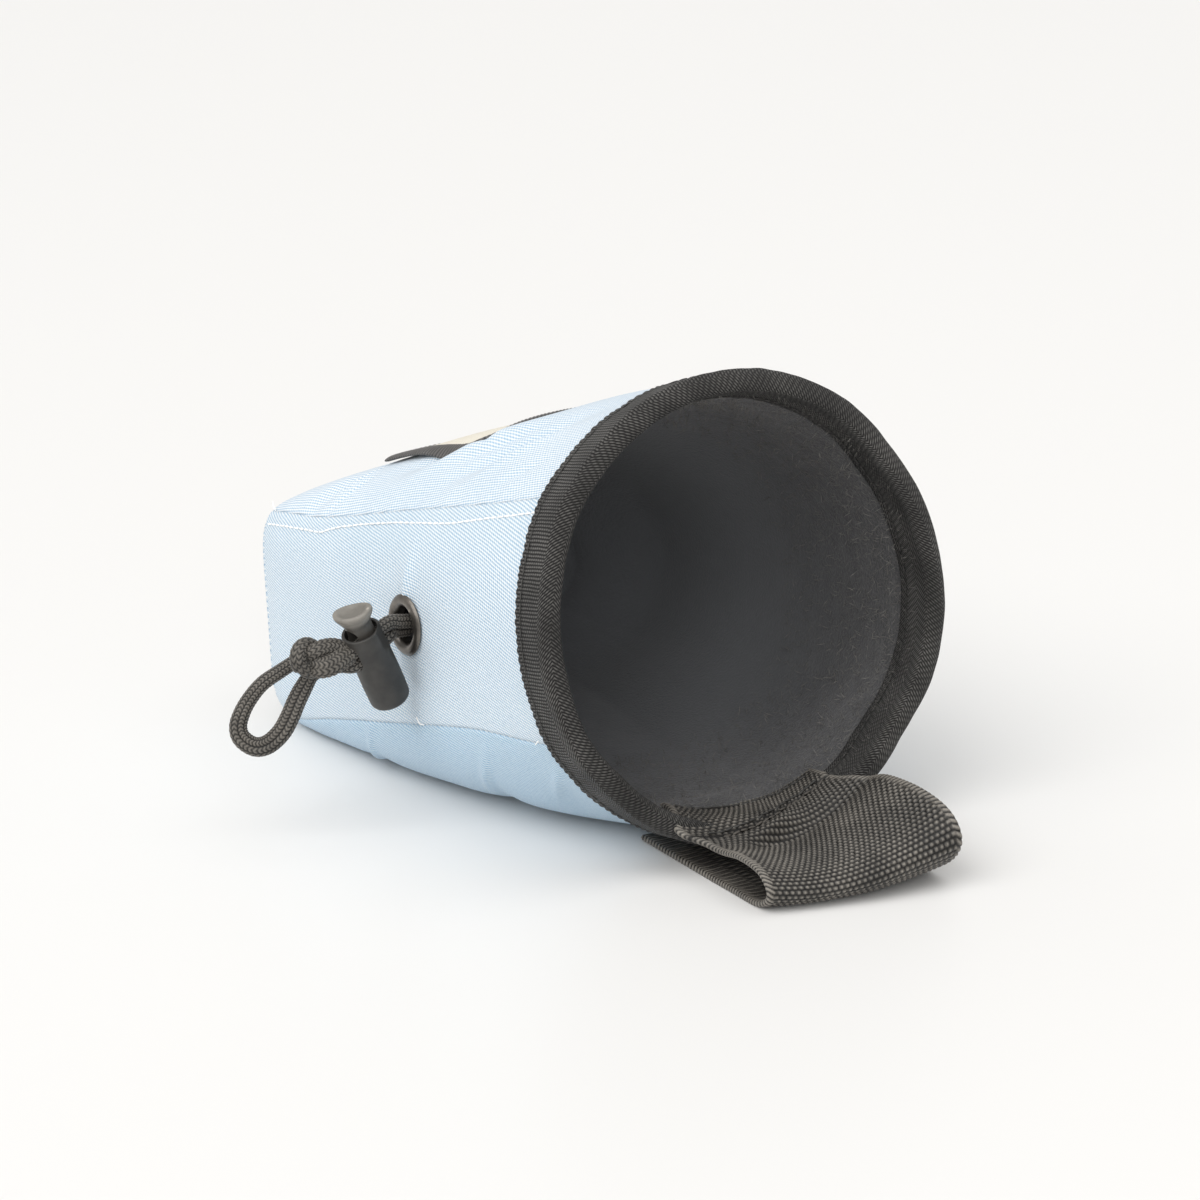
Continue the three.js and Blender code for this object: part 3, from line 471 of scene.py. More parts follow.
# Handling wear: light rubbed patches and specks on a moulded or plated surface
handling_wear, given, result = socket_group(
    "handling wear",
    [("Place", "NodeSocketVector", None), ("Scale", "NodeSocketFloat", 300.0), ("Edges", "NodeSocketFloat", 6.0)],
    ["Rub", "Grain"],
)
patches = add_node(handling_wear, "ShaderNodeTexNoise", {"Vector": given["Place"], "Scale": given["Scale"], "Detail": 5.0})
grains = calculate(handling_wear, "MULTIPLY", given["Scale"], 14.0)
speck = add_node(handling_wear, "ShaderNodeTexNoise", {"Vector": given["Place"], "Scale": grains, "Detail": 2.0})
sharp = add_node(handling_wear, "ShaderNodeNewGeometry").outputs["Pointiness"]
edge = calculate(handling_wear, "MULTIPLY", calculate(handling_wear, "SUBTRACT", sharp, 0.5), given["Edges"])
rub = calculate(handling_wear, "ADD", edge, calculate(handling_wear, "MULTIPLY_ADD", patches.outputs["Fac"], 0.9, -0.4))
rub = calculate(handling_wear, "MAXIMUM", calculate(handling_wear, "MINIMUM", rub, 1.0), 0.0)
handling_wear.links.new(rub, result["Rub"])
handling_wear.links.new(speck.outputs["Fac"], result["Grain"])


def moulded_material(name, colour, worn, roughness, specular, grain_depth, metallic=0.0, scale=300.0, neck=None):
    """Where a neck is given, what lies below its place and along its direction is darker: painted shade under an
    overhanging head.
    """
    material, tree, shader = finish_material(name, roughness, specular)
    shader.inputs["Metallic"].default_value = metallic
    wear = add_node(tree, "ShaderNodeGroup", node_tree=handling_wear)
    tree.links.new(add_node(tree, "ShaderNodeTexCoord").outputs["Object"], wear.inputs["Place"])
    wear.inputs["Scale"].default_value = scale
    tone = blend_colours(tree, wear.outputs["Rub"], colour, worn)
    if neck is not None:
        top, upwards, shade = neck
        place = add_node(tree, "ShaderNodeTexCoord").outputs["Object"]
        rise = add_node(tree, "ShaderNodeVectorMath", {0: place, 1: upwards}, operation="DOT_PRODUCT").outputs["Value"]
        head = calculate(tree, "MULTIPLY", calculate(tree, "SUBTRACT", rise, top.dot(upwards)), 1 / (0.9 * mm))
        head = calculate(tree, "MAXIMUM", calculate(tree, "MINIMUM", head, 1.0), 0.0)
        tone = blend_colours(tree, head, shade, tone)
    colour_of(tree, shader, tone)
    rough = calculate(tree, "MULTIPLY_ADD", wear.outputs["Grain"], 0.2, roughness - 0.1)
    tree.links.new(rough, shader.inputs["Roughness"])
    bump(tree, shader, wear.outputs["Grain"], grain_depth)
    return material


barrel_profile = rounded(
    [
        (0, -barrel_bottom),
        (barrel_radius * 1.0, -barrel_bottom),
        (barrel_radius * 1.03, -barrel_bottom * 0.6),
        (barrel_radius * 1.0, -2 * mm),
        (barrel_radius * 0.99, barrel_rim),
        (bore_radius + 0.02 * mm, barrel_rim),
        (bore_radius, barrel_rim - 0.5 * mm),
        (bore_radius, -barrel_bottom + 3 * mm),
        (0, -barrel_bottom + 3 * mm),
    ],
    1.7 * mm,
)
barrel_solid = turned([point for point in barrel_profile])
shoulder = Vector((math.cos(shoulder_bearing), math.sin(shoulder_bearing), 0))
for vertex in barrel_solid.verts:
    raised = min(max((vertex.co.z - shoulder_height) / (1.5 * mm), 0), 1)
    reach = vertex.co.dot(shoulder)
    limit = barrel_radius * 1.04 + (shoulder_reach - barrel_radius * 1.04) * raised
    if reach > limit:
        vertex.co -= shoulder * (reach - limit)
lock_plastic = moulded_material("lock_plastic", plastic_grey, plastic_worn, 0.5, 0.45, 0.02 * mm)
barrel = finished(barrel_solid, "cord_lock_body", lock_frame, lock_plastic, slot_half, slot_half)
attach(barrel, "bag")
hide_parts("cord_lock_barrel")

# The plunger: a lighter moulding with an oval, saddle-shaped thumb head on a neck, pushed up
# by a spring until its slot traps the strands. It slides 4 mm down in the barrel.

plunger_radius = 3.95 * mm
neck_radius = 3.5 * mm
head_radius = 5.3 * mm
head_narrow = 3.7 * mm
head_under = barrel_rim + 3.6 * mm
head_top = barrel_rim + 6.6 * mm
head_bearing = math.radians(129)
plunger_foot = -slot_half - 4 * mm
plunger_grey = (0.155, 0.145, 0.128)
plunger_worn = (0.38, 0.352, 0.31)
neck_painted_shade = (0.062, 0.057, 0.05)
plunger_profile = rounded(
    [
        (0, plunger_foot),
        (plunger_radius, plunger_foot),
        (plunger_radius, barrel_rim - 1.6 * mm),
        (neck_radius, barrel_rim - 1.2 * mm),
        (neck_radius, head_under - 1.0 * mm),
        (neck_radius + 0.6 * mm, head_under),
        (head_radius, head_under + 1.3 * mm),
        (head_radius, head_top - 0.5 * mm),
        (head_radius - 1.0 * mm, head_top),
        (head_radius - 2.6 * mm, head_top - 0.55 * mm),
        (0, head_top - 0.7 * mm),
    ],
    0.9 * mm,
)
plunger_solid = turned(plunger_profile)
head_long = Vector((math.cos(head_bearing), math.sin(head_bearing), 0))
head_short = Vector((-head_long.y, head_long.x, 0))
for vertex in plunger_solid.verts:
    share = min(max((vertex.co.z - head_under + 0.8 * mm) / (1.8 * mm), 0), 1)
    across = vertex.co.dot(head_short)
    vertex.co -= head_short * across * share * (1 - head_narrow / head_radius)
    rise = (vertex.co.dot(head_long) / head_radius) ** 2 - 0.35
    vertex.co.z += 0.75 * mm * share * rise
neck_top = lock_centre + lock_up * (head_under - 0.4 * mm)
# The plunger's neck is coloured darker than its head: painted shade under the head.
plunger_plastic = moulded_material(
    "plunger_plastic", plunger_grey, plunger_worn, 0.42, 0.5, 0.015 * mm, neck=(neck_top, lock_up, neck_painted_shade)
)
plunger = finished(plunger_solid, "cord_lock_button", lock_frame, plunger_plastic, slot_half, slot_half + 4 * mm)
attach(plunger, "lock_plunger")
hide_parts("cord_lock_plunger")

# The upper panel: sky-blue cotton with white weft, cut in one piece over the top of the bag.
# All four panels are the skin of one boxed body that is round at the mouth.

body_length = 152 * mm
mouth_radius = 60 * mm
base_half_width = 62 * mm
base_half_height = 32 * mm
mouth_tilt = math.radians(11.2)
base_tilt = math.radians(5.5)
rim_clearance = 2.6 * mm
cloth_thickness = 1.2 * mm
tape_thickness = 1.0 * mm
tape_reach = 10.5 * mm
piece_gap = 0.3 * mm
shell_radius = mouth_radius - tape_thickness - piece_gap
lip_centre = lip_on_floor + np.array([0, 0, rim_clearance + mouth_radius * math.cos(mouth_tilt)])
body_axis = np.array([0, math.cos(mouth_tilt), -math.sin(mouth_tilt)])
bag_middle = lip_centre + body_axis * body_length / 2
webbing_width = 51 * mm
webbing_thickness = 1.6 * mm
loop_shift = 2.5 * mm
tab_reach = 13 * mm
patch_distance = 92 * mm
patch_length = 50 * mm
patch_width = 68 * mm
patch_border = 3.4 * mm
cloth_blue = (0.235, 0.40, 0.56)
cloth_white = (0.83, 0.865, 0.885)
upper_blue = (0.27, 0.43, 0.59)
upper_white = (0.86, 0.885, 0.90)
# The lower panel's deeper blue: partly the cloth's own tone, partly painted shade for its downward-facing side.
under_blue_and_painted_shade = (0.18, 0.36, 0.545)
under_white_and_painted_shade = (0.64, 0.745, 0.815)

# Sections from the lip (0) to the base seam (1): width, rise of the upper half, sag of the
# lower half, their powers, and the gussets' half angle and turn in degrees
sections = np.array([
    (0.00, 1.000, 0.000, 0.00, 2.00, 2.00, 32.0, 5.0),
    (0.10, 1.000, 0.010, 0.02, 2.05, 2.12, 30.5, 4.6),
    (0.25, 1.020, 0.060, 0.06, 2.15, 2.70, 27.3, 4.9),
    (0.50, 1.030, 0.080, 0.08, 2.60, 4.00, 25.8, 3.0),
    (0.75, 1.030, 0.090, 0.07, 3.50, 6.00, 24.8, 0.6),
    (0.94, 1.020, 0.060, 0.06, 5.50, 8.00, 26.2, -0.6),
    (1.00, 1.000, 0.020, 0.02, 7.00, 8.00, 26.6, -0.6),
])
width, rise, sag, above, below, seam_half, seam_roll = range(1, 8)

# Dents of the round rim: angle, spread in degrees, push as a share of the mouth's radius
rim_dents = [(351, 20, 0.018), (317, 13, -0.022), (36, 10, -0.012), (147, 9, 0.008), (206, 8, 0.01)]

# Folds: place along and round, length and width as shares of the body, depth as a share of
# the mouth's radius, and slant
folds = [
    (0.30, 128, 0.26, 0.028, -0.050, 38), (0.42, 126, 0.24, 0.026, 0.034, 36),
    (0.52, 128, 0.22, 0.030, -0.048, 34), (0.80, 146, 0.12, 0.030, -0.026, 70),
    (0.48, 196, 0.12, 0.050, -0.020, 60), (0.44, 168, 0.10, 0.030, 0.012, 80),
    (0.70, 222, 0.14, 0.035, -0.020, 55), (0.36, 226, 0.16, 0.035, -0.020, 50),
    (0.16, 228, 0.12, 0.030, -0.016, 48), (0.45, 60, 0.22, 0.040, -0.018, -36),
    (0.70, 50, 0.20, 0.035, -0.016, -50), (0.50, 350, 0.20, 0.050, -0.018, -60),
]

# Finer creases that only the cloth's surface shows
creases = [
    (0.74, 148, 0.10, 0.009, -0.016, 62), (0.76, 143, 0.11, 0.008, 0.012, 66),
    (0.26, 131, 0.16, 0.012, 0.018, 40), (0.36, 127, 0.18, 0.012, -0.016, 38),
    (0.47, 125, 0.16, 0.012, 0.016, 35), (0.58, 124, 0.14, 0.012, -0.013, 40),
    (0.20, 138, 0.10, 0.010, -0.012, 30), (0.67, 214, 0.14, 0.008, 0.018, 52),
    (0.32, 217, 0.18, 0.010, 0.019, 46), (0.14, 219, 0.12, 0.009, 0.016, 44),
    (0.43, 172, 0.12, 0.010, 0.012, 84), (0.50, 190, 0.14, 0.014, -0.016, 64),
    (0.62, 60, 0.2, 0.012, 0.010, -40), (0.35, 52, 0.2, 0.012, -0.010, -36),
    (0.45, 300, 0.2, 0.012, 0.010, -50), (0.7, 330, 0.16, 0.012, -0.010, -40),
]


def smoothstep(value, low, high):
    part = np.clip((value - low) / (high - low), 0, 1)
    return part * part * (3 - 2 * part)


def section_value(share, column):
    at = sections[:, 0]
    share = np.clip(share, 0, 1)
    low = np.clip(np.searchsorted(at, share, side="left") - 1, 0, len(at) - 2)
    before, after = np.maximum(low - 1, 0), np.minimum(low + 2, len(at) - 1)
    value = sections[:, column]
    span = at[low + 1] - at[low]
    part = (share - at[low]) / span
    start_slope = (value[low + 1] - value[before]) / (at[low + 1] - at[before]) * span
    end_slope = (value[after] - value[low]) / (at[after] - at[low]) * span
    square, cube = part**2, part**3
    rows = (2 * cube - 3 * square + 1) * value[low] + (cube - 2 * square + part) * start_slope
    return rows + (3 * square - 2 * cube) * value[low + 1] + (cube - square) * end_slope


def section_radius(share, angle):
    share = np.clip(share, 0, 1)
    upper = np.sin(angle) >= 0
    half_width = (shell_radius + (base_half_width - shell_radius) * share) * section_value(share, width)
    fullness = 1 + np.where(upper, section_value(share, rise), section_value(share, sag))
    half_height = (shell_radius + (base_half_height - shell_radius) * share) * fullness
    power = np.where(upper, section_value(share, above), section_value(share, below))
    across = (np.abs(np.cos(angle)) / half_width) ** power
    return (across + (np.abs(np.sin(angle)) / half_height) ** power) ** (-1 / power)


def smooth_point(share, angle):
    radius = section_radius(share, angle)
    tilt = mouth_tilt + (base_tilt - mouth_tilt) * share
    up = np.stack([radius * np.cos(angle), radius * np.sin(angle) * np.sin(tilt), radius * np.sin(angle) * np.cos(tilt)], axis=-1)
    return lip_centre + share[..., None] * body_length * body_axis + up


def outward_normal(share, angle):
    step = 0.004
    low = np.clip(share - step, 0, 1 - 2 * step)
    along = smooth_point(low + 2 * step, angle) - smooth_point(low, angle)
    around = smooth_point(share, angle + step) - smooth_point(share, angle - step)
    normal = np.cross(along, around)
    return normal / np.linalg.norm(normal, axis=-1, keepdims=True)


def turn_between(angle, other):
    return np.mod(angle - other + np.pi, 2 * np.pi) - np.pi


def fold_relief(share, angle, table):
    relief = np.zeros_like(share)
    radius = section_radius(share, angle)
    for at, place, long, wide, depth, slant in table:
        along = (share - at) * body_length
        around = turn_between(angle, math.radians(place)) * radius
        slant = math.radians(slant)
        along_fold = along * math.cos(slant) + around * math.sin(slant)
        across_fold = around * math.cos(slant) - along * math.sin(slant)
        reach = np.exp(-((2 * along_fold / (long * body_length)) ** 2))
        relief += depth * mouth_radius * reach * np.exp(-((across_fold / (wide * body_length)) ** 2))
    stiff = np.maximum(
        np.abs(share * body_length - patch_distance) - patch_length / 2,
        np.abs(turn_between(angle, np.pi / 2)) * radius - patch_width / 2,
    )
    ends = smoothstep(share, 0.06, 0.14) * (1 - smoothstep(share, 0.9, 1))
    return relief * ends * (1 - 0.8 * (1 - smoothstep(stiff, 0, 2 * patch_border)))


def rest_height(point):
    depth = (point - lip_centre) @ body_axis
    under_tape = 1 - smoothstep(depth, tape_reach + 1 * mm, tape_reach + 5 * mm)
    local = point - lip_on_floor
    past = local[..., 1] - tab_reach
    beside = np.abs(local[..., 0] - loop_shift) - webbing_width / 2
    over_tab = 1 - smoothstep(np.maximum(past, beside), 3 * mm, 11 * mm)
    return under_tape * (tape_thickness + piece_gap) + over_tab * (webbing_thickness + piece_gap)


def skin_point(share, angle, offset, fine=0.0):
    """A point of the bag's skin, moved out by an offset, and pressed flat where it rests."""
    normal = outward_normal(share, angle)
    dent = np.zeros_like(share)
    for place, spread, push in rim_dents:
        turn = turn_between(angle, math.radians(place)) / math.radians(spread)
        dent += push * mouth_radius * np.exp(-turn * turn)
    relief = fold_relief(share, angle, folds) + dent * (1 - smoothstep(share, 0.05, 0.5))
    outside = smooth_point(share, angle) + normal * relief[..., None]
    point = outside + normal * (np.asarray(offset) + fine)[..., None]
    lift = np.maximum(0, rest_height(outside) - outside[..., 2])
    point[..., 2] += lift
    point[..., 2] = np.maximum(point[..., 2], 0.0)
    return point


def seam_angle(share, seam):
    half = np.radians(section_value(share, seam_half))
    corner = (half, np.pi - half, np.pi + half, 2 * np.pi - half, 2 * np.pi + half)[seam]
    return corner - np.radians(section_value(share, seam_roll))


waves = random.Random(7)
crumple_waves = [(waves.uniform(0, 2 * math.pi), waves.uniform(0.6, 1.6), waves.uniform(0, 6.3)) for _ in range(9)]


def crumple(x, y, size):
    """Soft uneven ground: a few plane waves in seeded directions, about a size long."""
    total = np.zeros_like(x)
    for heading, pitch, phase in crumple_waves:
        total += np.sin((x * math.cos(heading) + y * math.sin(heading)) * 2 * np.pi * pitch / size + phase)
    return total / len(crumple_waves)


# Cotton weave: blue warp and white weft in a fine twill line, which breaks up into short
# floats and drifts a little where the threads lie closer
cotton_weave, given, result = socket_group(
    "cotton weave",
    [("Place", "NodeSocketVector", None), ("Pitch", "NodeSocketFloat", 0.8 * mm), ("Turn", "NodeSocketFloat", 0.87)],
    ["White", "Height"],
)
warped = add_node(cotton_weave, "ShaderNodeTexNoise", {"Vector": given["Place"], "Scale": 70.0, "Detail": 2.0})
warped = calculate(cotton_weave, "MULTIPLY", warped.outputs["Fac"], 1.3)
turned_place = add_node(cotton_weave, "ShaderNodeVectorRotate", {"Vector": given["Place"]}, rotation_type="Z_AXIS")
cotton_weave.links.new(given["Turn"], turned_place.inputs["Angle"])
parts = add_node(cotton_weave, "ShaderNodeSeparateXYZ", {"Vector": turned_place.outputs["Vector"]}).outputs
across = calculate(cotton_weave, "ADD", calculate(cotton_weave, "DIVIDE", parts["X"], given["Pitch"]), warped)
along = calculate(cotton_weave, "DIVIDE", parts["Y"], calculate(cotton_weave, "MULTIPLY", given["Pitch"], 1.3))
along = calculate(cotton_weave, "MULTIPLY_ADD", across, 0.5, along)
wave = calculate(cotton_weave, "SINE", calculate(cotton_weave, "MULTIPLY", across, 2 * math.pi))
short = calculate(cotton_weave, "SINE", calculate(cotton_weave, "MULTIPLY", along, 2 * math.pi))
mixed = calculate(cotton_weave, "MULTIPLY_ADD", short, 0.17, calculate(cotton_weave, "MULTIPLY", wave, 0.33))
height = calculate(cotton_weave, "ADD", mixed, 0.5)
fluff = add_node(cotton_weave, "ShaderNodeTexNoise", {"Vector": given["Place"], "Scale": 1100.0, "Detail": 4.0})
white = calculate(cotton_weave, "ADD", height, calculate(cotton_weave, "MULTIPLY_ADD", fluff.outputs["Fac"], 0.5, -0.22))
white = calculate(cotton_weave, "MAXIMUM", calculate(cotton_weave, "MINIMUM", white, 1.0), 0.0)
cotton_weave.links.new(white, result["White"])
cotton_weave.links.new(height, result["Height"])


def cotton_material(name, blue, pale, turn, pitch=0.8 * mm):
    material, tree, shader = finish_material(name, 0.85, 0.2)
    shader.inputs["Sheen Weight"].default_value = 0.25
    shader.inputs["Sheen Roughness"].default_value = 0.5
    uv = add_node(tree, "ShaderNodeUVMap", uv_map="UVMap").outputs["UV"]
    weave = add_node(tree, "ShaderNodeGroup", node_tree=cotton_weave)
    tree.links.new(uv, weave.inputs["Place"])
    weave.inputs["Pitch"].default_value = pitch
    weave.inputs["Turn"].default_value = turn
    place = add_node(tree, "ShaderNodeTexCoord").outputs["Object"]
    soil = add_node(tree, "ShaderNodeTexNoise", {"Vector": place, "Scale": 28.0, "Detail": 5.0}).outputs["Fac"]
    share = calculate(tree, "MULTIPLY", weave.outputs["White"], calculate(tree, "MULTIPLY_ADD", soil, 0.3, 0.85))
    colour_of(tree, shader, blend_colours(tree, share, blue, pale))
    bump(tree, shader, weave.outputs["Height"], 0.14 * mm)
    return material


cotton = cotton_material("sky_cotton", cloth_blue, cloth_white, -math.radians(22))
upper_cotton = cotton_material("upper_cotton", upper_blue, upper_white, math.radians(4))


def panel(name, node, start, columns, span, detail, cloth=None):
    """One panel of the body, from its seam to the next, with a cloth's wall behind it."""

    def place(across, along):
        begin, end = seam_angle(along, start), seam_angle(along, start + 1)
        edge = 0.004 * mm / section_radius(along, begin)
        angle = begin + edge + (end - begin - 2 * edge) * across
        run = section_radius(along, angle) * (end - begin)
        near_start, near_end = across * run, (1 - across) * run
        from_seam = np.minimum(near_start, near_end)
        length_at = along * body_length
        fine = fold_relief(along, angle, creases)
        fine += 0.14 * mm * crumple(length_at, across * span, 34 * mm)
        ripple = np.sin(length_at / (4.6 * mm) * np.pi + 2.2 * crumple(length_at, across * 0, 60 * mm))
        fine += 0.16 * mm * ripple * np.exp(-from_seam / (3.5 * mm)) * smoothstep(from_seam, 0, 1.2 * mm)
        fine -= 0.12 * mm * np.exp(-((from_seam / (0.6 * mm)) ** 2))
        base_edge = (1 - along) * body_length
        fine -= 0.5 * mm * np.exp(-((base_edge / (0.7 * mm)) ** 2))
        fine += detail(along, angle, near_start, near_end)
        return skin_point(along, angle, np.zeros_like(along), fine), np.ones_like(along)

    piece = sheet(name, columns, 220, (span, body_length), place, cloth or cotton, inside=bag_middle)
    wall = piece.modifiers.new("wall", "SOLIDIFY")
    wall.thickness = cloth_thickness
    wall.offset = -1
    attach(piece, "bag")
    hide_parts(node)
    return piece


def upper_cloth(along, angle, near_start, near_end):
    """The folded edge stands up a little along both seams."""
    return 0.2 * mm * np.exp(-((np.minimum(near_start, near_end) / (1.8 * mm)) ** 2))


panel("upper_panel_cloth", "front_panel", 0, 150, 128 * mm, upper_cloth, upper_cotton)

# The two gussets: narrower side panels of the same cotton. Along the upper seam the seam
# allowance lies under the gusset and is held by a row of white topstitching.

stitch_shares = (0, 0.1, 0.21, 0.33, 0.49, 0.62, 0.69, 0.73, 0.76, 0.82, 1)
stitch_insets = np.array((4.1, 4.1, 4.1, 4.7, 3.5, 2.9, 3.0, 3.6, 4.4, 3.9, 3.9)) * mm
eyelet_distance = 66 * mm
eyelet_angle = math.radians(178.5)
eyelet_at = np.array([eyelet_distance / body_length])
eyelet_centre = skin_point(eyelet_at, np.array([eyelet_angle]), np.zeros(1))[0]
eyelet_normal = outward_normal(eyelet_at, np.array([eyelet_angle]))[0]


def allowance(from_seam, along):
    """The doubled cloth beside a topstitched seam, and the groove that the stitches pull."""
    stitch_inset = np.interp(along, stitch_shares, stitch_insets)
    band = 0.3 * mm * (1 - smoothstep(from_seam, stitch_inset - 0.2 * mm, stitch_inset + 1.0 * mm))
    pull = np.abs(np.sin(along * body_length / (2.9 * mm) * np.pi))
    groove = (0.16 + 0.12 * pull) * mm * np.exp(-(((from_seam - stitch_inset) / (0.5 * mm)) ** 2))
    return band - groove


def near_gusset(along, angle, near_start, near_end):
    around = turn_between(angle, eyelet_angle) * section_radius(along, angle)
    reach = np.hypot(along * body_length - eyelet_distance, around)
    bearing = np.arctan2(around, along * body_length - eyelet_distance)
    pull = -0.35 * mm * np.exp(-((reach / (11 * mm)) ** 2))
    rays = 0.13 * mm * np.sin(bearing * 7 + 1.0) * np.exp(-(((reach - 12 * mm) / (5 * mm)) ** 2))
    return allowance(near_start, along) + pull + rays


def far_gusset(along, angle, near_start, near_end):
    return allowance(near_end, along)


near_side = panel("near_gusset_cloth", "left_gusset", 1, 70, 60 * mm, near_gusset)
panel("far_gusset_cloth", "right_gusset", 3, 70, 60 * mm, far_gusset)

eyelet_hole = 5.5 * mm
near_mesh = bmesh.new()
near_mesh.from_mesh(near_side.data)
gone = [
    face for face in near_mesh.faces
    if (face.calc_center_median() - Vector(eyelet_centre)).length < eyelet_hole
]
bmesh.ops.delete(near_mesh, geom=gone, context="FACES")
near_mesh.to_mesh(near_side.data)
near_mesh.free()

thread_white = (0.9, 0.9, 0.88)
thread_black = (0.035, 0.034, 0.032)


def thread_material(name, colour, roughness):
    pale = tuple(min(1.0, value * 1.35 + 0.01) for value in colour)
    material, tree, shader = finish_material(name, roughness, 0.4)
    grain = add_node(tree, "ShaderNodeGroup", node_tree=yarn_grain)
    tree.links.new(add_node(tree, "ShaderNodeTexCoord").outputs["Object"], grain.inputs["Place"])
    grain.inputs["Scale"].default_value = 5200.0
    colour_of(tree, shader, blend_colours(tree, grain.outputs["Fibre"], colour, pale))
    bump(tree, shader, grain.outputs["Fibre"], 0.04 * mm)
    return material


white_thread = thread_material("white_thread", thread_white, 0.6)
black_thread = thread_material("black_thread", thread_black, 0.42)


def stitch_row(name, points, normals, length, thickness, material, gap=0.18):
    """Stitches along a run: each a small flat capsule that dips into the cloth at its ends."""
    mesh = bmesh.new()
    steps = np.concatenate([[0], np.cumsum(np.linalg.norm(np.diff(points, axis=0), axis=1))])
    count = int(steps[-1] / length)
    for index in range(count):
        middle = (index + 0.5) * length
        at = [np.interp(middle, steps, points[:, axis]) for axis in range(3)]
        ahead = [np.interp(middle + length * 0.4, steps, points[:, axis]) for axis in range(3)]
        up = Vector([np.interp(middle, steps, normals[:, axis]) for axis in range(3)]).normalized()
        heading = (Vector(ahead) - Vector(at)).normalized()
        side = up.cross(heading).normalized()
        up = heading.cross(side)
        place = Matrix((heading, side, up)).transposed().to_4x4()
        place.translation = Vector(at)
        shape = Matrix.Diagonal((length * (1 - gap) / 2, thickness / 2, thickness / 2.4, 1))
        bmesh.ops.create_uvsphere(mesh, u_segments=8, v_segments=6, radius=1.0, matrix=place @ shape)
    data = bpy.data.meshes.new(name)
    mesh.to_mesh(data)
    mesh.free()
    data.shade_smooth()
    data.materials.append(material)
    piece = bpy.data.objects.new(name, data)
    bpy.context.collection.objects.link(piece)
    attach(piece, "bag")
    return piece


for name, seam, side in (("near_topstitching", 1, 1), ("far_topstitching", 4, -1)):
    along = np.linspace(0.055, 0.985, 160)
    angle = seam_angle(along, seam)
    angle = angle + side * np.interp(along, stitch_shares, stitch_insets) / section_radius(along, angle)
    lift = np.full_like(along, 0.2 * mm)
    fine = fold_relief(along, angle, creases)
    stitch_row(name, skin_point(along, angle, lift, fine), outward_normal(along, angle), 2.9 * mm, 0.6 * mm, white_thread, 0.02)

# The lower panel: cotton on the belt's side, in a deeper blue that is partly the cloth's own
# tone and partly painted shade for its downward-facing side. The bag lies on it, so it is pressed
# flat along the middle and lifts off the floor towards both seams.

def lower_cloth(along, angle, near_start, near_end):
    return np.zeros_like(along)


under_cotton_and_painted_shade = cotton_material("belt_side_cotton_and_painted_shade", under_blue_and_painted_shade, under_white_and_painted_shade, -math.radians(22))
panel("lower_panel_cloth", "back_panel", 2, 150, 128 * mm, lower_cloth, under_cotton_and_painted_shade)

# The bottom: one piece of cotton sewn in all round, slightly domed by what it has carried.

base_dome = 2.5 * mm
base_centre = lip_centre + body_axis * body_length


def base_place(around, inward):
    """Around the base seam, and in to the middle."""
    turn = 2 * np.pi * around
    rim = skin_point(np.ones_like(turn), turn, np.full_like(turn, -0.4 * mm))
    size = 1 - inward
    depth = piece_gap + cloth_thickness + base_dome * (1 - size**2)
    depth = depth - 0.7 * mm * np.exp(-((inward * 40 * mm / (0.8 * mm)) ** 2))
    centre = base_centre + (rim - base_centre) * size[:, None]
    depth = depth + 0.25 * mm * crumple(centre[:, 0], centre[:, 2], 38 * mm) * (1 - size**4)
    return centre + depth[:, None] * body_axis, np.ones_like(size)


base = sheet("bottom_cloth", 180, 60, (0.31, 0.045), base_place, cotton, inside=bag_middle, welded=True)
base_uv = base.data.uv_layers[0].data
for loop in base.data.loops:
    corner = base.data.vertices[loop.vertex_index].co
    base_uv[loop.index].uv = (corner.x, corner.z)
wall = base.modifiers.new("wall", "SOLIDIFY")
wall.thickness = cloth_thickness
wall.offset = -1
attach(base, "bag")
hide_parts("base_panel")

# The lining: a cup of black polyester fleece, brushed so that short fibres stand up from it.
# It is caught under the tape at the rim and hangs loose behind the eyelet.

fleece_thickness = 1.6 * mm
fleece_gap = 0.5 * mm
fleece_slack = 1.1 * mm
fleece_dark = (0.021, 0.021, 0.0215)
fleece_light = (0.115, 0.113, 0.11)
# Deep in the cup the fleece is coloured lighter and bluer: painted glare haze, not the fleece's colour.
fleece_painted_deep_glare = (0.155, 0.162, 0.172)
lining_end = 1 - (piece_gap + fleece_thickness) / body_length
wall_share = 0.8


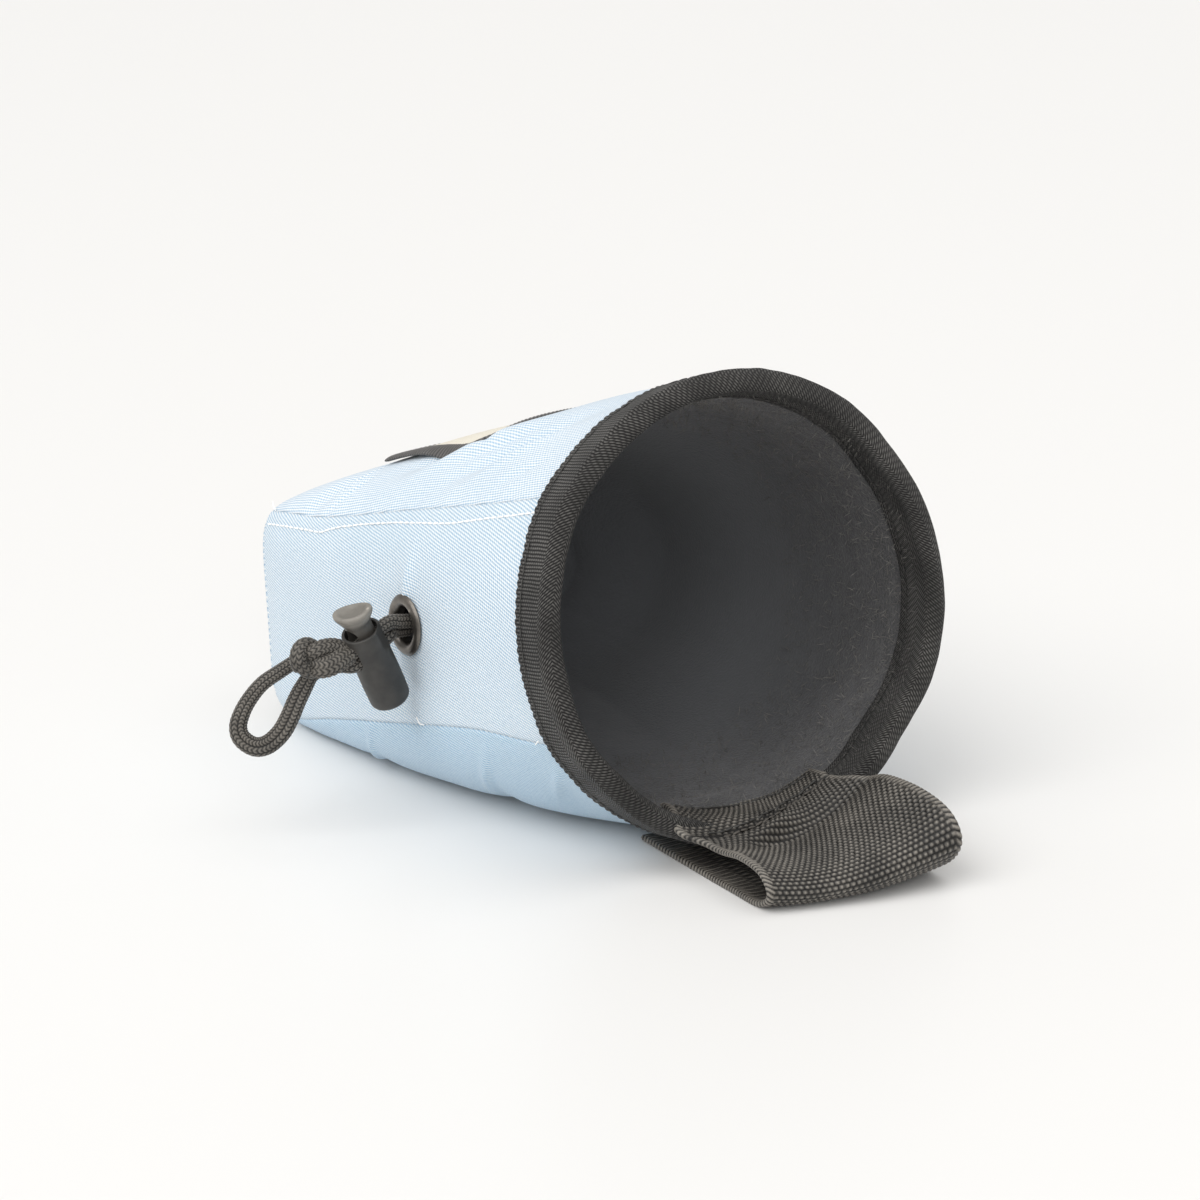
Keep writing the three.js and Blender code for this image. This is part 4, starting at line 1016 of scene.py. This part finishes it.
def lining_place(around, deep):
    """Down the wall from the lip, then across the bottom of the cup to its middle."""
    turn = 2 * np.pi * around
    share = np.minimum(deep / wall_share, 1) * lining_end
    slack = fleece_slack * smoothstep(share, 0.06, 0.16)
    offset = -(cloth_thickness + fleece_gap + fleece_thickness) - slack
    ring_x, ring_y = 50 * mm * np.cos(turn), 50 * mm * np.sin(turn)
    clumps = crumple(ring_x + share * body_length, ring_y - share * body_length * 0.6, 4.5 * mm)
    waves = crumple(ring_x, ring_y + share * body_length, 32 * mm) * smoothstep(share, 0.1, 0.3)
    nap = (0.2 * clumps + 0.4 * waves) * mm
    wall_point = skin_point(share, turn, offset, nap)
    distance = np.linalg.norm(wall_point - eyelet_centre, axis=1)
    wall_point = wall_point - np.exp(-((distance / (20 * mm)) ** 2))[:, None] * 3 * mm * eyelet_normal
    middle = lip_centre + share[:, None] * body_length * body_axis
    oval = 1 / np.hypot(np.cos(turn) / (57 - 2 * share), np.sin(turn) / (57 - 24 * share)) * mm
    distance = np.linalg.norm(wall_point - middle, axis=1)
    loose = smoothstep(share, 0.25, 0.6) * np.maximum(0, distance - oval) / distance
    loose = loose + 0.3 * smoothstep(share, 0.78, 1.0) ** 2
    wall_point = wall_point + (middle - wall_point) * loose[:, None]
    size = np.clip((1 - deep) / (1 - wall_share), 0, 1)
    floor_centre = lip_centre + body_axis * body_length * lining_end
    nearness = 1 - smoothstep(share, 0.12, 0.66)
    return floor_centre + (wall_point - floor_centre) * size[:, None], nearness


fleece, tree, shader = finish_material("black_fleece", 0.95, 0.12)
shader.inputs["Sheen Weight"].default_value = 0.5
shader.inputs["Sheen Roughness"].default_value = 0.7
shader.inputs["Sheen Tint"].default_value = (0.5, 0.5, 0.52, 1)
place = add_node(tree, "ShaderNodeTexCoord").outputs["Object"]
nap = add_node(tree, "ShaderNodeGroup", node_tree=yarn_grain)
tree.links.new(place, nap.inputs["Place"])
nap.inputs["Scale"].default_value = 1300.0
nap.inputs["Slubs"].default_value = 150.0
nearness = add_node(tree, "ShaderNodeAttribute", attribute_name="ridge").outputs["Fac"]
share = calculate(tree, "MULTIPLY_ADD", nap.outputs["Fibre"], 2.4, -0.75)
clumped = calculate(tree, "MULTIPLY_ADD", nap.outputs["Slub"], 1.6, -0.3)
share = calculate(tree, "MULTIPLY_ADD", calculate(tree, "SUBTRACT", share, 0.45), nearness, 0.45)
share = calculate(tree, "MULTIPLY", share, clumped)
share = calculate(tree, "MAXIMUM", calculate(tree, "MINIMUM", share, 1.0), 0.0)
near_tone = blend_colours(tree, share, fleece_dark, fleece_light)
# Away from the lip the colour blends to the painted glare haze of the deep cup.
colour_of(tree, shader, blend_colours(tree, nearness, fleece_painted_deep_glare, near_tone))
bump(tree, shader, nap.outputs["Fibre"], 0.5 * mm, 0.6)

lining = sheet("fleece_cup", 240, 130, (0.36, 0.19), lining_place, fleece, inside=bag_middle, welded=True)
lining_mesh = bmesh.new()
lining_mesh.from_mesh(lining.data)
bmesh.ops.reverse_faces(lining_mesh, faces=lining_mesh.faces)
lining_mesh.to_mesh(lining.data)
lining_mesh.free()
wall = lining.modifiers.new("wall", "SOLIDIFY")
wall.thickness = fleece_thickness
wall.offset = -1
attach(lining, "bag")
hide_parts("fleece_lining")

fibre_count = 17000
fibre_lengths = (1.0 * mm, 3.2 * mm)
fibre_width = 0.075 * mm
fibre_dice = np.random.default_rng(11)
roots_around = fibre_dice.random(fibre_count)
roots_deep = 0.012 + 0.34 * fibre_dice.random(fibre_count) ** 1.7
roots, _ = lining_place(roots_around, roots_deep)
inward = -outward_normal(roots_deep / wall_share * lining_end, 2 * np.pi * roots_around)
lean = fibre_dice.normal(size=(fibre_count, 3))
heading = inward * 0.5 + lean * 0.8
heading /= np.linalg.norm(heading, axis=1, keepdims=True)
side = np.cross(heading, fibre_dice.normal(size=(fibre_count, 3)))
side *= fibre_width / 2 / np.linalg.norm(side, axis=1, keepdims=True)
reach = fibre_dice.uniform(*fibre_lengths, size=(fibre_count, 1))
bent = roots + heading * reach + np.cross(side, heading) * reach * 2500
fibre_mesh = bmesh.new()
bmesh.ops.create_grid(fibre_mesh, x_segments=fibre_count, y_segments=1, size=0.5)
fibre_data = bpy.data.meshes.new("fleece_fibres")
blades = np.stack([roots - side, roots + side, roots + heading * reach * 0.55 + side * 0.7, bent], axis=1).reshape(-1, 3)
fibre_mesh.clear()
blade_vertices = [fibre_mesh.verts.new(point) for point in blades]
for first in range(0, len(blade_vertices), 4):
    a, b, c, d = blade_vertices[first : first + 4]
    fibre_mesh.faces.new((a, b, c))
    fibre_mesh.faces.new((a, c, d))
fibre_mesh.to_mesh(fibre_data)
fibre_mesh.free()
fibre_finish, tree, shader = finish_material("fleece_fibre", 0.7, 0.3)
tint = add_node(tree, "ShaderNodeTexNoise", {"Scale": 700.0})
tree.links.new(add_node(tree, "ShaderNodeTexCoord").outputs["Object"], tint.inputs["Vector"])
colour_of(tree, shader, blend_colours(tree, tint.outputs["Fac"], (0.03, 0.03, 0.03), (0.36, 0.345, 0.32)))
fibre_data.materials.append(fibre_finish)
fibres = bpy.data.objects.new("fleece_fibres", fibre_data)
bpy.context.collection.objects.link(fibres)
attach(fibres, "bag")

# The rim binding: black herringbone tape, 28 mm wide, folded lengthways over the raw edges
# of cotton and fleece and sewn through near its outer selvedge.

outer_skin = piece_gap + tape_thickness
inner_skin = -(cloth_thickness + fleece_gap + fleece_thickness + piece_gap + tape_thickness)
rim_length = 2 * np.pi * mouth_radius
tape_width = 28 * mm
lip_share = 0.25
# The tape's colour runs from painted shade in its hollows to a painted highlight on its rib crowns.
tape_painted_hollow_shade = (0.0045, 0.0044, 0.0043)
tape_painted_rib_highlight = (0.145, 0.14, 0.133)


def tape_place(around, across):
    turn = 2 * np.pi * around
    ring_x, ring_y = rim_length / 2 / np.pi * np.cos(turn), rim_length / 2 / np.pi * np.sin(turn)
    side = (1 - lip_share) / 2
    over = np.clip((across - side) / lip_share, 0, 1)
    middle, half = (outer_skin + inner_skin) / 2, (outer_skin - inner_skin) / 2
    outer_depth = tape_reach * np.clip(1 - across / side, 0, 1)
    inner_depth = tape_reach * np.clip((across - side - lip_share) / side, 0, 1)
    fullness = np.sin(np.pi * over) ** 0.8
    depth = outer_depth + inner_depth - (piece_gap + tape_thickness + 0.5 * mm) * fullness
    offset = middle + half * np.cos(np.pi * over)
    width_at = across * tape_width
    at_edge = np.exp(-((width_at / (0.8 * mm)) ** 2))
    scallop = np.abs(np.sin(turn * 88 + 2.6 * crumple(ring_x, ring_y, 19 * mm)))
    depth = depth + at_edge * (0.27 * scallop + 0.5 * crumple(ring_x, ring_y, 9 * mm)) * mm
    sewn = np.exp(-(((width_at - 2.1 * mm) / (0.5 * mm)) ** 2))
    inner_sewn = np.exp(-(((width_at - tape_width + 2.3 * mm) / (0.5 * mm)) ** 2))
    pucker = 0.2 * crumple(ring_x, ring_y, 8 * mm) + 0.3 * crumple(ring_x + width_at, ring_y, 26 * mm)
    lift = (pucker * (1 - 0.5 * fullness) + 0.25 * at_edge * scallop - 0.12 * sewn - 0.16 * inner_sewn) * mm
    inward = np.where(over > 0.5, -1.0, 1.0) * np.abs(np.cos(np.pi * over))
    point = skin_point(np.clip(depth, 0, None) / body_length, turn, offset + lift * inward)
    forward = np.minimum(depth, 0) - lift * np.sin(np.pi * over)
    # The returned share is lower along both rows of stitching: painted shade in their grooves.
    return point + forward[:, None] * body_axis, 1 - 0.25 * sewn - 0.4 * inner_sewn


# Herringbone tape: straight ribs beside the outer selvedge, then ribs whose slant turns
# back every few millimetres, all beaded where the crossing yarn goes under
tape_weave, given, result = socket_group(
    "herringbone",
    [
        ("Place", "NodeSocketVector", None),
        ("Rib", "NodeSocketFloat", 0.92 * mm),
        ("Zone", "NodeSocketFloat", 3.9 * mm),
        ("Straight", "NodeSocketFloat", 9.5 * mm),
        ("Slant", "NodeSocketFloat", 1.1),
    ],
    ["Height"],
)
parts = add_node(tape_weave, "ShaderNodeSeparateXYZ", {"Vector": given["Place"]}).outputs
sway = calculate(tape_weave, "SINE", calculate(tape_weave, "DIVIDE", parts["X"], 60 * mm))
width_at = calculate(tape_weave, "MULTIPLY_ADD", sway, -3.2 * mm, parts["Y"])
past = calculate(tape_weave, "MAXIMUM", calculate(tape_weave, "SUBTRACT", width_at, given["Straight"]), 0.0)
zigzag = calculate(tape_weave, "PINGPONG", past, given["Zone"])
slanted = calculate(tape_weave, "MULTIPLY_ADD", zigzag, given["Slant"], parts["X"])
uneven = add_node(tape_weave, "ShaderNodeTexNoise", {"Vector": given["Place"], "Scale": 130.0, "Detail": 1.0})
rib = calculate(tape_weave, "DIVIDE", slanted, given["Rib"])
rib = calculate(tape_weave, "MULTIPLY_ADD", uneven.outputs["Fac"], 0.8, rib)
crown = calculate(tape_weave, "ABSOLUTE", calculate(tape_weave, "SINE", calculate(tape_weave, "MULTIPLY", rib, math.pi)))
stagger = calculate(tape_weave, "MULTIPLY", calculate(tape_weave, "FLOOR", rib), 0.5)
bead = calculate(tape_weave, "ADD", calculate(tape_weave, "DIVIDE", parts["Y"], 1.05 * mm), stagger)
bead = calculate(tape_weave, "ABSOLUTE", calculate(tape_weave, "SINE", calculate(tape_weave, "MULTIPLY", bead, math.pi)))
bead = calculate(tape_weave, "MULTIPLY_ADD", bead, 0.5, 0.5)
height = calculate(tape_weave, "MULTIPLY", crown, bead)
tape_weave.links.new(height, result["Height"])

tape_yarn, tree, shader = finish_material("herringbone_tape", 0.6, 0.22)
shader.inputs["Sheen Weight"].default_value = 0.05
uv = add_node(tree, "ShaderNodeUVMap", uv_map="UVMap").outputs["UV"]
weave = add_node(tree, "ShaderNodeGroup", node_tree=tape_weave)
tree.links.new(uv, weave.inputs["Place"])
grain = add_node(tree, "ShaderNodeGroup", node_tree=yarn_grain)
tree.links.new(add_node(tree, "ShaderNodeTexCoord").outputs["Object"], grain.inputs["Place"])
grain.inputs["Scale"].default_value = 2600.0
grain.inputs["Slubs"].default_value = 75.0
sewn = add_node(tree, "ShaderNodeAttribute", attribute_name="ridge").outputs["Fac"]
share = calculate(tree, "MULTIPLY", weave.outputs["Height"], sewn)
share = calculate(tree, "MULTIPLY", share, calculate(tree, "MULTIPLY_ADD", grain.outputs["Slub"], 1.2, 0.3))
share = calculate(tree, "MULTIPLY_ADD", calculate(tree, "SUBTRACT", grain.outputs["Fibre"], 0.5), 0.25, share)
share = calculate(tree, "MAXIMUM", calculate(tree, "MINIMUM", share, 1.0), 0.0)
share = calculate(tree, "POWER", share, 2.1)
# Rib height and the stitch-row share give painted highlights on the ribs and painted shade in hollows and stitch
# grooves.
colour_of(tree, shader, blend_colours(tree, share, tape_painted_hollow_shade, tape_painted_rib_highlight))
bump(tree, shader, weave.outputs["Height"], 0.42 * mm)

tape = sheet("rim_tape", 1050, 44, (rim_length, tape_width), tape_place, tape_yarn, inside=bag_middle, welded=True)
wall = tape.modifiers.new("wall", "SOLIDIFY")
wall.thickness = 0.7 * mm
wall.offset = -1
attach(tape, "bag")
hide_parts("rim_binding")

turn = np.linspace(0, 2 * np.pi, 900)
for name, depth, offset in (("tape_stitches_outside", 8.6, outer_skin), ("tape_stitches_inside", 8.2, inner_skin)):
    share = np.full_like(turn, depth * mm / body_length)
    out = np.sign(offset)
    points = skin_point(share, turn, np.full_like(turn, offset + out * 0.08 * mm))
    stitch_row(name, points, outward_normal(share, turn) * out, 3.0 * mm, 0.42 * mm, black_thread, 0.16)

# The belt loop: 2 inch nylon webbing, sewn down inside the mouth, led out over the lip,
# folded back on itself and caught again under the bag.

loop_reach = 53 * mm
loop_height = 19 * mm
loop_inside = 13 * mm
loop_tuck = 4.5 * mm
loop_seat = -(cloth_thickness + fleece_gap + fleece_thickness + piece_gap + tape_thickness + 0.6 * mm + webbing_thickness / 2)
loop_path = [
    (0.38, 0.46, 0.40, 0.42, 0.36, 0.93),
    (0.58, 0.51, 0.64, 0.50, 0.62, 1.02),
    (0.72, 0.48, 0.82, 0.49, 0.83, 0.97),
    (0.79, 0.37, 0.91, 0.41, 0.95, 0.83),
    (0.82, 0.22, 0.95, 0.26, 1.00, 0.60),
    (0.79, 0.09, 0.91, 0.11, 0.96, 0.35),
    (0.70, 0.00, 0.82, 0.00, 0.85, 0.14),
    (0.55, 0.00, 0.60, 0.00, 0.66, 0.00),
]
weft_pitch = 1.16 * mm
warp_pitch = 1.5 * mm
# The webbing's colour runs from painted shade in its hollows to a painted highlight on its nubs.
webbing_painted_hollow_shade = (0.005, 0.0045, 0.004)
webbing_painted_crown_highlight = (0.235, 0.216, 0.19)


def inside_point(depth, across):
    share = np.full_like(across, depth / body_length)
    angle = np.full_like(across, 1.5 * np.pi)
    for _ in range(6):
        point = skin_point(share, angle, np.full_like(across, loop_seat)) - lip_on_floor
        height = point[:, 2] - (lip_centre - lip_on_floor)[2]
        angle = angle + (across - point[:, 0]) / np.hypot(point[:, 0], height)
    return skin_point(share, angle, np.full_like(across, loop_seat))


lanes = np.linspace(-1, 1, 35)


def curve_across(left, middle, right):
    return middle + (right - left) / 2 * lanes + ((left + right) / 2 - middle) * lanes**2


across_lanes = loop_shift + lanes * webbing_width / 2
tucked = across_lanes - loop_tuck * np.maximum(0, lanes)
loop_rows = [inside_point(depth, tucked) for depth in (loop_inside, loop_inside / 2, 0.5 * mm)]
level = webbing_thickness / 2
for left_out, left_up, mid_out, mid_up, right_out, right_up in loop_path:
    out = curve_across(left_out, mid_out, right_out) * loop_reach
    up = np.maximum(0, curve_across(left_up, mid_up, right_up)) * loop_height
    loop_rows.append(lip_on_floor + np.stack([across_lanes, -out, level + up], axis=1))
for back in (0.3, 0.05, -tab_reach / loop_reach):
    flat = [across_lanes, np.full(35, -back * loop_reach), np.full(35, level)]
    loop_rows.append(lip_on_floor + np.stack(flat, axis=1))
loop_steps = 640
loop_run, loop_length = smooth_run(np.array(loop_rows), loop_steps)
run_along = np.linspace(0, loop_length, loop_steps)[:, None]
to_left = smoothstep(-lanes, 0.25, 1.0)[None, :]
over_lip = np.exp(-(((run_along - 14 * mm) / (6.5 * mm)) ** 2)) * to_left
loop_run = loop_run + over_lip[:, :, None] * np.array([-5.8, -2.4, -2.2]) * mm
row_step = np.gradient(loop_run, axis=0)
lane_step = np.gradient(loop_run, axis=1)
loop_normal = np.cross(row_step, lane_step)
loop_normal /= np.linalg.norm(loop_normal, axis=2, keepdims=True)
outer_columns, inner_columns, edge_columns = 120, 20, 6
loop_columns = outer_columns + inner_columns + 2 * edge_columns
crease_at = (18.2, 17.0, 11.0, 8.6)
crease_lanes = (-18, -9, 7.5, 24)


def webbing_weave(across, along):
    """Plain weave of thick yarn: staggered rows of plump crowns, and braided edges."""
    weft = along / weft_pitch + 0.35 * np.sin(across / (7 * mm))
    warp = across / warp_pitch + 0.5 * np.mod(np.floor(weft), 2)
    crown = np.sin(np.pi * np.mod(warp, 1)) ** 0.8 * np.sin(np.pi * np.mod(weft, 1)) ** 0.7
    from_edge = webbing_width / 2 - np.abs(across)
    plait = np.abs(np.sin(np.pi * (along / (1.3 * mm) + np.sign(across) * from_edge / (2.0 * mm)))) ** 0.7
    at_edge = 1 - smoothstep(from_edge, 1.5 * mm, 1.9 * mm)
    return np.clip(crown * (1 - at_edge) + plait * at_edge, 0, 1)


def webbing_place(around, along):
    """Round the webbing's section: its outer face, an edge, its inner face, the other edge."""
    column = around * loop_columns
    first, second, third = outer_columns, outer_columns + edge_columns, loop_columns - edge_columns
    half_width = webbing_width / 2 - webbing_thickness / 2
    outer = np.clip(column / first, 0, 1)
    inner = np.clip((column - second) / inner_columns, 0, 1)
    turning = np.where(column < third, np.clip((column - first) / edge_columns, 0, 1), 1 + (column - third) / edge_columns)
    turning = np.where(column < first, 0.0, turning) * np.pi
    x = np.where(column <= second, -half_width + 2 * half_width * outer, half_width - 2 * half_width * inner)
    level_x = x + np.where(turning <= np.pi, 1, -1) * np.sin(np.mod(turning, np.pi)) * webbing_thickness / 2
    level_z = np.cos(turning) * webbing_thickness / 2
    row = np.rint(along * (loop_steps - 1)).astype(int)
    lane = (level_x / (webbing_width / 2) + 1) / 2 * 34
    low = np.clip(np.floor(lane).astype(int), 0, 33)
    part = (lane - low)[:, None]
    middle = loop_run[row, low] * (1 - part) + loop_run[row, low + 1] * part
    normal = loop_normal[row, low] * (1 - part) + loop_normal[row, low + 1] * part
    length_at = along * loop_length
    ridge = webbing_weave(level_x, length_at)
    relief = 0.5 * mm * (ridge - 0.55)
    past_crease = length_at - np.interp(level_x / mm, crease_lanes, crease_at) * mm
    near_crease = np.exp(-((past_crease / (0.8 * mm)) ** 2))
    hump = np.exp(-(((past_crease - 3.6 * mm) / (2.0 * mm)) ** 2)) * np.exp(-((level_x + 5 * mm) / (9 * mm)) ** 2)
    furrow = np.exp(-(((past_crease - 9.0 * mm - 0.16 * level_x) / (3.4 * mm)) ** 2))
    furrow = furrow * smoothstep(level_x, -17 * mm, -7 * mm) * (1 - 0.7 * smoothstep(level_x, 10 * mm, 24 * mm))
    slack = (-0.9 * near_crease * smoothstep(level_x, -22 * mm, -14 * mm) + 1.5 * hump - 3.3 * furrow) * mm
    wave = 0.3 * mm * crumple(level_x, length_at, 30 * mm)
    pinch = np.minimum(np.minimum(row, loop_steps - 1 - row) / 2, 1)
    half_wall = (level_z * 0.8 + np.sign(np.rint(level_z / mm * 1000)) * relief) * pinch
    point = middle + normal * (half_wall + slack + wave)[:, None]
    point[:, 2] = np.maximum(point[:, 2], 0.0)
    # The returned ridge is lowered along the crease: painted shade in the fold.
    return point, np.clip(ridge - 0.5 * near_crease, 0, 1)


webbing_yarn = yarn_material("black_webbing", webbing_painted_hollow_shade, webbing_painted_crown_highlight, 0.4, 2600.0, 70.0, 0.1, 0.05 * mm, 2.6)
section_size = (2 * webbing_width + 2 * webbing_thickness, loop_length)
webbing = sheet(
    "belt_webbing", loop_columns, loop_steps - 1, section_size, webbing_place, webbing_yarn, welded=True, closed=True
)
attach(webbing, "bag")
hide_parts("belt_loop")

def webbing_stitches(name, path, pale):
    """A row of stitches over the webbing, through places across and along it."""
    path = np.array(path) * mm
    across = np.linspace(path[0, 0], path[-1, 0], 120)
    length_at = np.interp(across, path[:, 0], path[:, 1])
    row = np.rint(length_at / loop_length * (loop_steps - 1)).astype(int)
    lane = np.clip(np.rint((across / (webbing_width / 2) + 1) * 17).astype(int), 0, 34)
    points, _ = webbing_place((across / (webbing_width - webbing_thickness) + 0.5) * outer_columns / loop_columns, length_at / loop_length)
    normals = loop_normal[row, lane]
    stitch_row(name, points + normals * 0.3 * mm, normals, 3.0 * mm, 0.75 * mm, pale, 0.04)


worn_thread = thread_material("worn_thread", (0.07, 0.063, 0.055), 0.6)
webbing_stitches("lip_stitches", [(-17, 17.9), (-9, 16.8), (7.5, 10.8), (24, 8.4)], worn_thread)
webbing_stitches("second_lip_stitches", [(-20, 17.0), (-9, 15.4), (7.5, 9.6), (23, 7.3)], black_thread)
webbing_stitches("inner_end_stitches", [(-23, 2.4), (0, 2.4), (24, 2.4)], black_thread)

# The sewn patch on the upper panel: a plain cream twill ground inside a black overlocked
# border whose threads wrap its edge. It has no lettering.

patch_corner = 6 * mm
patch_lift = 0.4 * mm
patch_cream_warm = (0.60, 0.54, 0.42)
patch_cream = (0.86, 0.83, 0.74)
# The border thread's colour runs from painted shade between its wraps to a painted highlight on their crowns.
patch_thread_painted_shade = (0.012, 0.012, 0.014)
patch_thread_painted_highlight = (0.12, 0.115, 0.11)


def patch_half_width(along, inset):
    corner = max(patch_corner - inset, 1 * mm)
    into = np.maximum(0, np.abs(along) - (patch_length / 2 - inset - corner))
    return patch_width / 2 - inset - corner + np.sqrt(np.maximum(0, corner**2 - into**2))


def patch_point(along, across, lift):
    share = (patch_distance + along) / body_length
    angle = np.pi / 2 + across / section_radius(share, np.full_like(share, np.pi / 2))
    edge = np.abs(across) / (patch_width / 2)
    wave = 0.5 * mm * (0.5 + 0.5 * np.sin(along / (9 * mm))) * smoothstep(edge, 0.75, 1.0)
    seated = 0.75 * mm * smoothstep(-along, -0.1 * patch_length, 0.45 * patch_length)
    return skin_point(share, angle, np.maximum(lift + wave - seated, 0.08 * mm))


def ground_place(across, along):
    inset = patch_border * 0.6
    down = (patch_length / 2 - inset) * (2 * along - 1)
    side = patch_half_width(down, inset) * (2 * across - 1)
    return patch_point(down, side, patch_lift + 0.7 * mm), np.ones_like(across)


cream_twill = cotton_material("patch_cream", patch_cream_warm, patch_cream, -1.0, 0.8 * mm)
ground = sheet("patch_cloth", 80, 100, (patch_width, patch_length), ground_place, cream_twill, inside=bag_middle)
wall = ground.modifiers.new("wall", "SOLIDIFY")
wall.thickness = 0.6 * mm
wall.offset = -1
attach(ground, "bag")
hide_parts("patch_ground")

edge_half = patch_length / 2 - patch_border / 2
edge_turns = np.linspace(0, np.pi, 70)
long_way = -edge_half * np.cos(edge_turns)
long_side = patch_half_width(long_way, patch_border / 2)
short_side = np.linspace(1, -1, 40)[1:-1] * patch_half_width(np.array([edge_half]), patch_border / 2)[0]
outline = np.concatenate([
    np.stack([long_way, long_side], axis=1),
    np.stack([np.full(38, edge_half), short_side], axis=1),
    np.stack([-long_way, -long_side], axis=1),
    np.stack([np.full(38, -edge_half), -short_side], axis=1),
])
outline = np.concatenate([outline, outline[:1]])
border_steps = 1500
edge_run, edge_length = smooth_run(outline, border_steps)
edge_heading = np.gradient(edge_run, axis=0)
edge_heading /= np.linalg.norm(edge_heading, axis=1, keepdims=True)


def border_place(around, along):
    """Round the border's flat section, with a thread crossing it at every step."""
    row = np.rint(along * (border_steps - 1)).astype(int) % (border_steps - 1)
    turn = 2 * np.pi * around
    uneven = 0.8 * crumple(edge_run[row, 0], edge_run[row, 1], 4 * mm)
    thread = np.abs(np.sin(np.pi * along * edge_length / (1.1 * mm) + 1.4 * np.cos(turn) + uneven)) ** 0.7
    wide = patch_border / 2 * np.cos(turn) * (0.9 + 0.2 * thread + 0.08 * uneven)
    across = np.stack([edge_heading[row, 1], -edge_heading[row, 0]], axis=1)
    flat = edge_run[row] + across * wide[:, None]
    high = patch_lift + 0.62 * mm + 0.6 * mm * np.sin(turn) * (0.75 + 0.45 * thread)
    return patch_point(flat[:, 0], flat[:, 1], high), thread


border_yarn = yarn_material("patch_thread", patch_thread_painted_shade, patch_thread_painted_highlight, 0.45, 3000.0, 80.0, 0.2, 0.03 * mm)
border = sheet("patch_overlock", 14, border_steps - 1, (7 * mm, edge_length), border_place, border_yarn, welded=True, closed=True)
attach(border, "bag")
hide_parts("patch_border")

# The eyelet: pressed brass with a gunmetal finish, rubbed bright on the crown of its rolled
# flange, and set through the near gusset over a ring behind.

flange_radius = 8.1 * mm
hole_radius = 4.8 * mm
eyelet_back = -(cloth_thickness + 2 * piece_gap)
eyelet_profile = rounded(
    [
        (hole_radius, eyelet_back - 0.2 * mm),
        (hole_radius, 0.2 * mm),
        (hole_radius + 0.5 * mm, 0.95 * mm),
        (flange_radius - 2.0 * mm, 1.45 * mm),
        (flange_radius - 0.7 * mm, 1.15 * mm),
        (flange_radius, 0.45 * mm),
        (flange_radius - 0.1 * mm, piece_gap * 0.5),
        (hole_radius + 0.6 * mm, piece_gap * 0.5),
        (hole_radius + 0.6 * mm, eyelet_back),
        (flange_radius - 1.6 * mm, eyelet_back),
        (flange_radius - 1.6 * mm, eyelet_back - 0.5 * mm),
        (hole_radius + 0.3 * mm, eyelet_back - 0.6 * mm),
        (hole_radius, eyelet_back - 0.2 * mm),
    ],
    0.5 * mm,
    4,
)
gunmetal_dark = (0.105, 0.097, 0.088)
gunmetal_rubbed = (0.42, 0.38, 0.33)
gunmetal = moulded_material("gunmetal", gunmetal_dark, gunmetal_rubbed, 0.34, 0.5, 0.01 * mm, 0.85, 260.0)
eyelet_frame = Vector((0, 0, 1)).rotation_difference(Vector(eyelet_normal)).to_matrix().to_4x4()
eyelet_frame.translation = Vector(eyelet_centre)
eyelet = finished(turned(eyelet_profile, 96), "gunmetal_eyelet", eyelet_frame, gunmetal)
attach(eyelet, "bag")
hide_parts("eyelet")

# Loose ends of thread at the seams, cut short by hand.

loose_ends = [
    {"share": 0.42, "seam": 2, "turn": 0.6, "length": 3.2},
    {"share": 0.11, "seam": 2, "turn": 2.4, "length": 2.6},
    {"share": 0.97, "seam": 1, "turn": 1.2, "length": 2.4},
]
for number, loose in enumerate(loose_ends):
    at = np.array([loose["share"]])
    root = skin_point(at, seam_angle(at, loose["seam"]), np.full(1, 0.1 * mm))[0]
    away = outward_normal(at, seam_angle(at, loose["seam"]))[0]
    lean = np.array([0, math.cos(loose["turn"]), math.sin(loose["turn"])])
    reach = loose["length"] * mm
    bend = [root, root + away * reach * 0.3 + lean * reach * 0.3, root + away * reach * 0.3 + lean * reach]
    end, _, _ = braided_tube(f"thread_end_{number}", bend, 0.3 * mm, 12, 6, white_thread)
    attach(end, "bag")
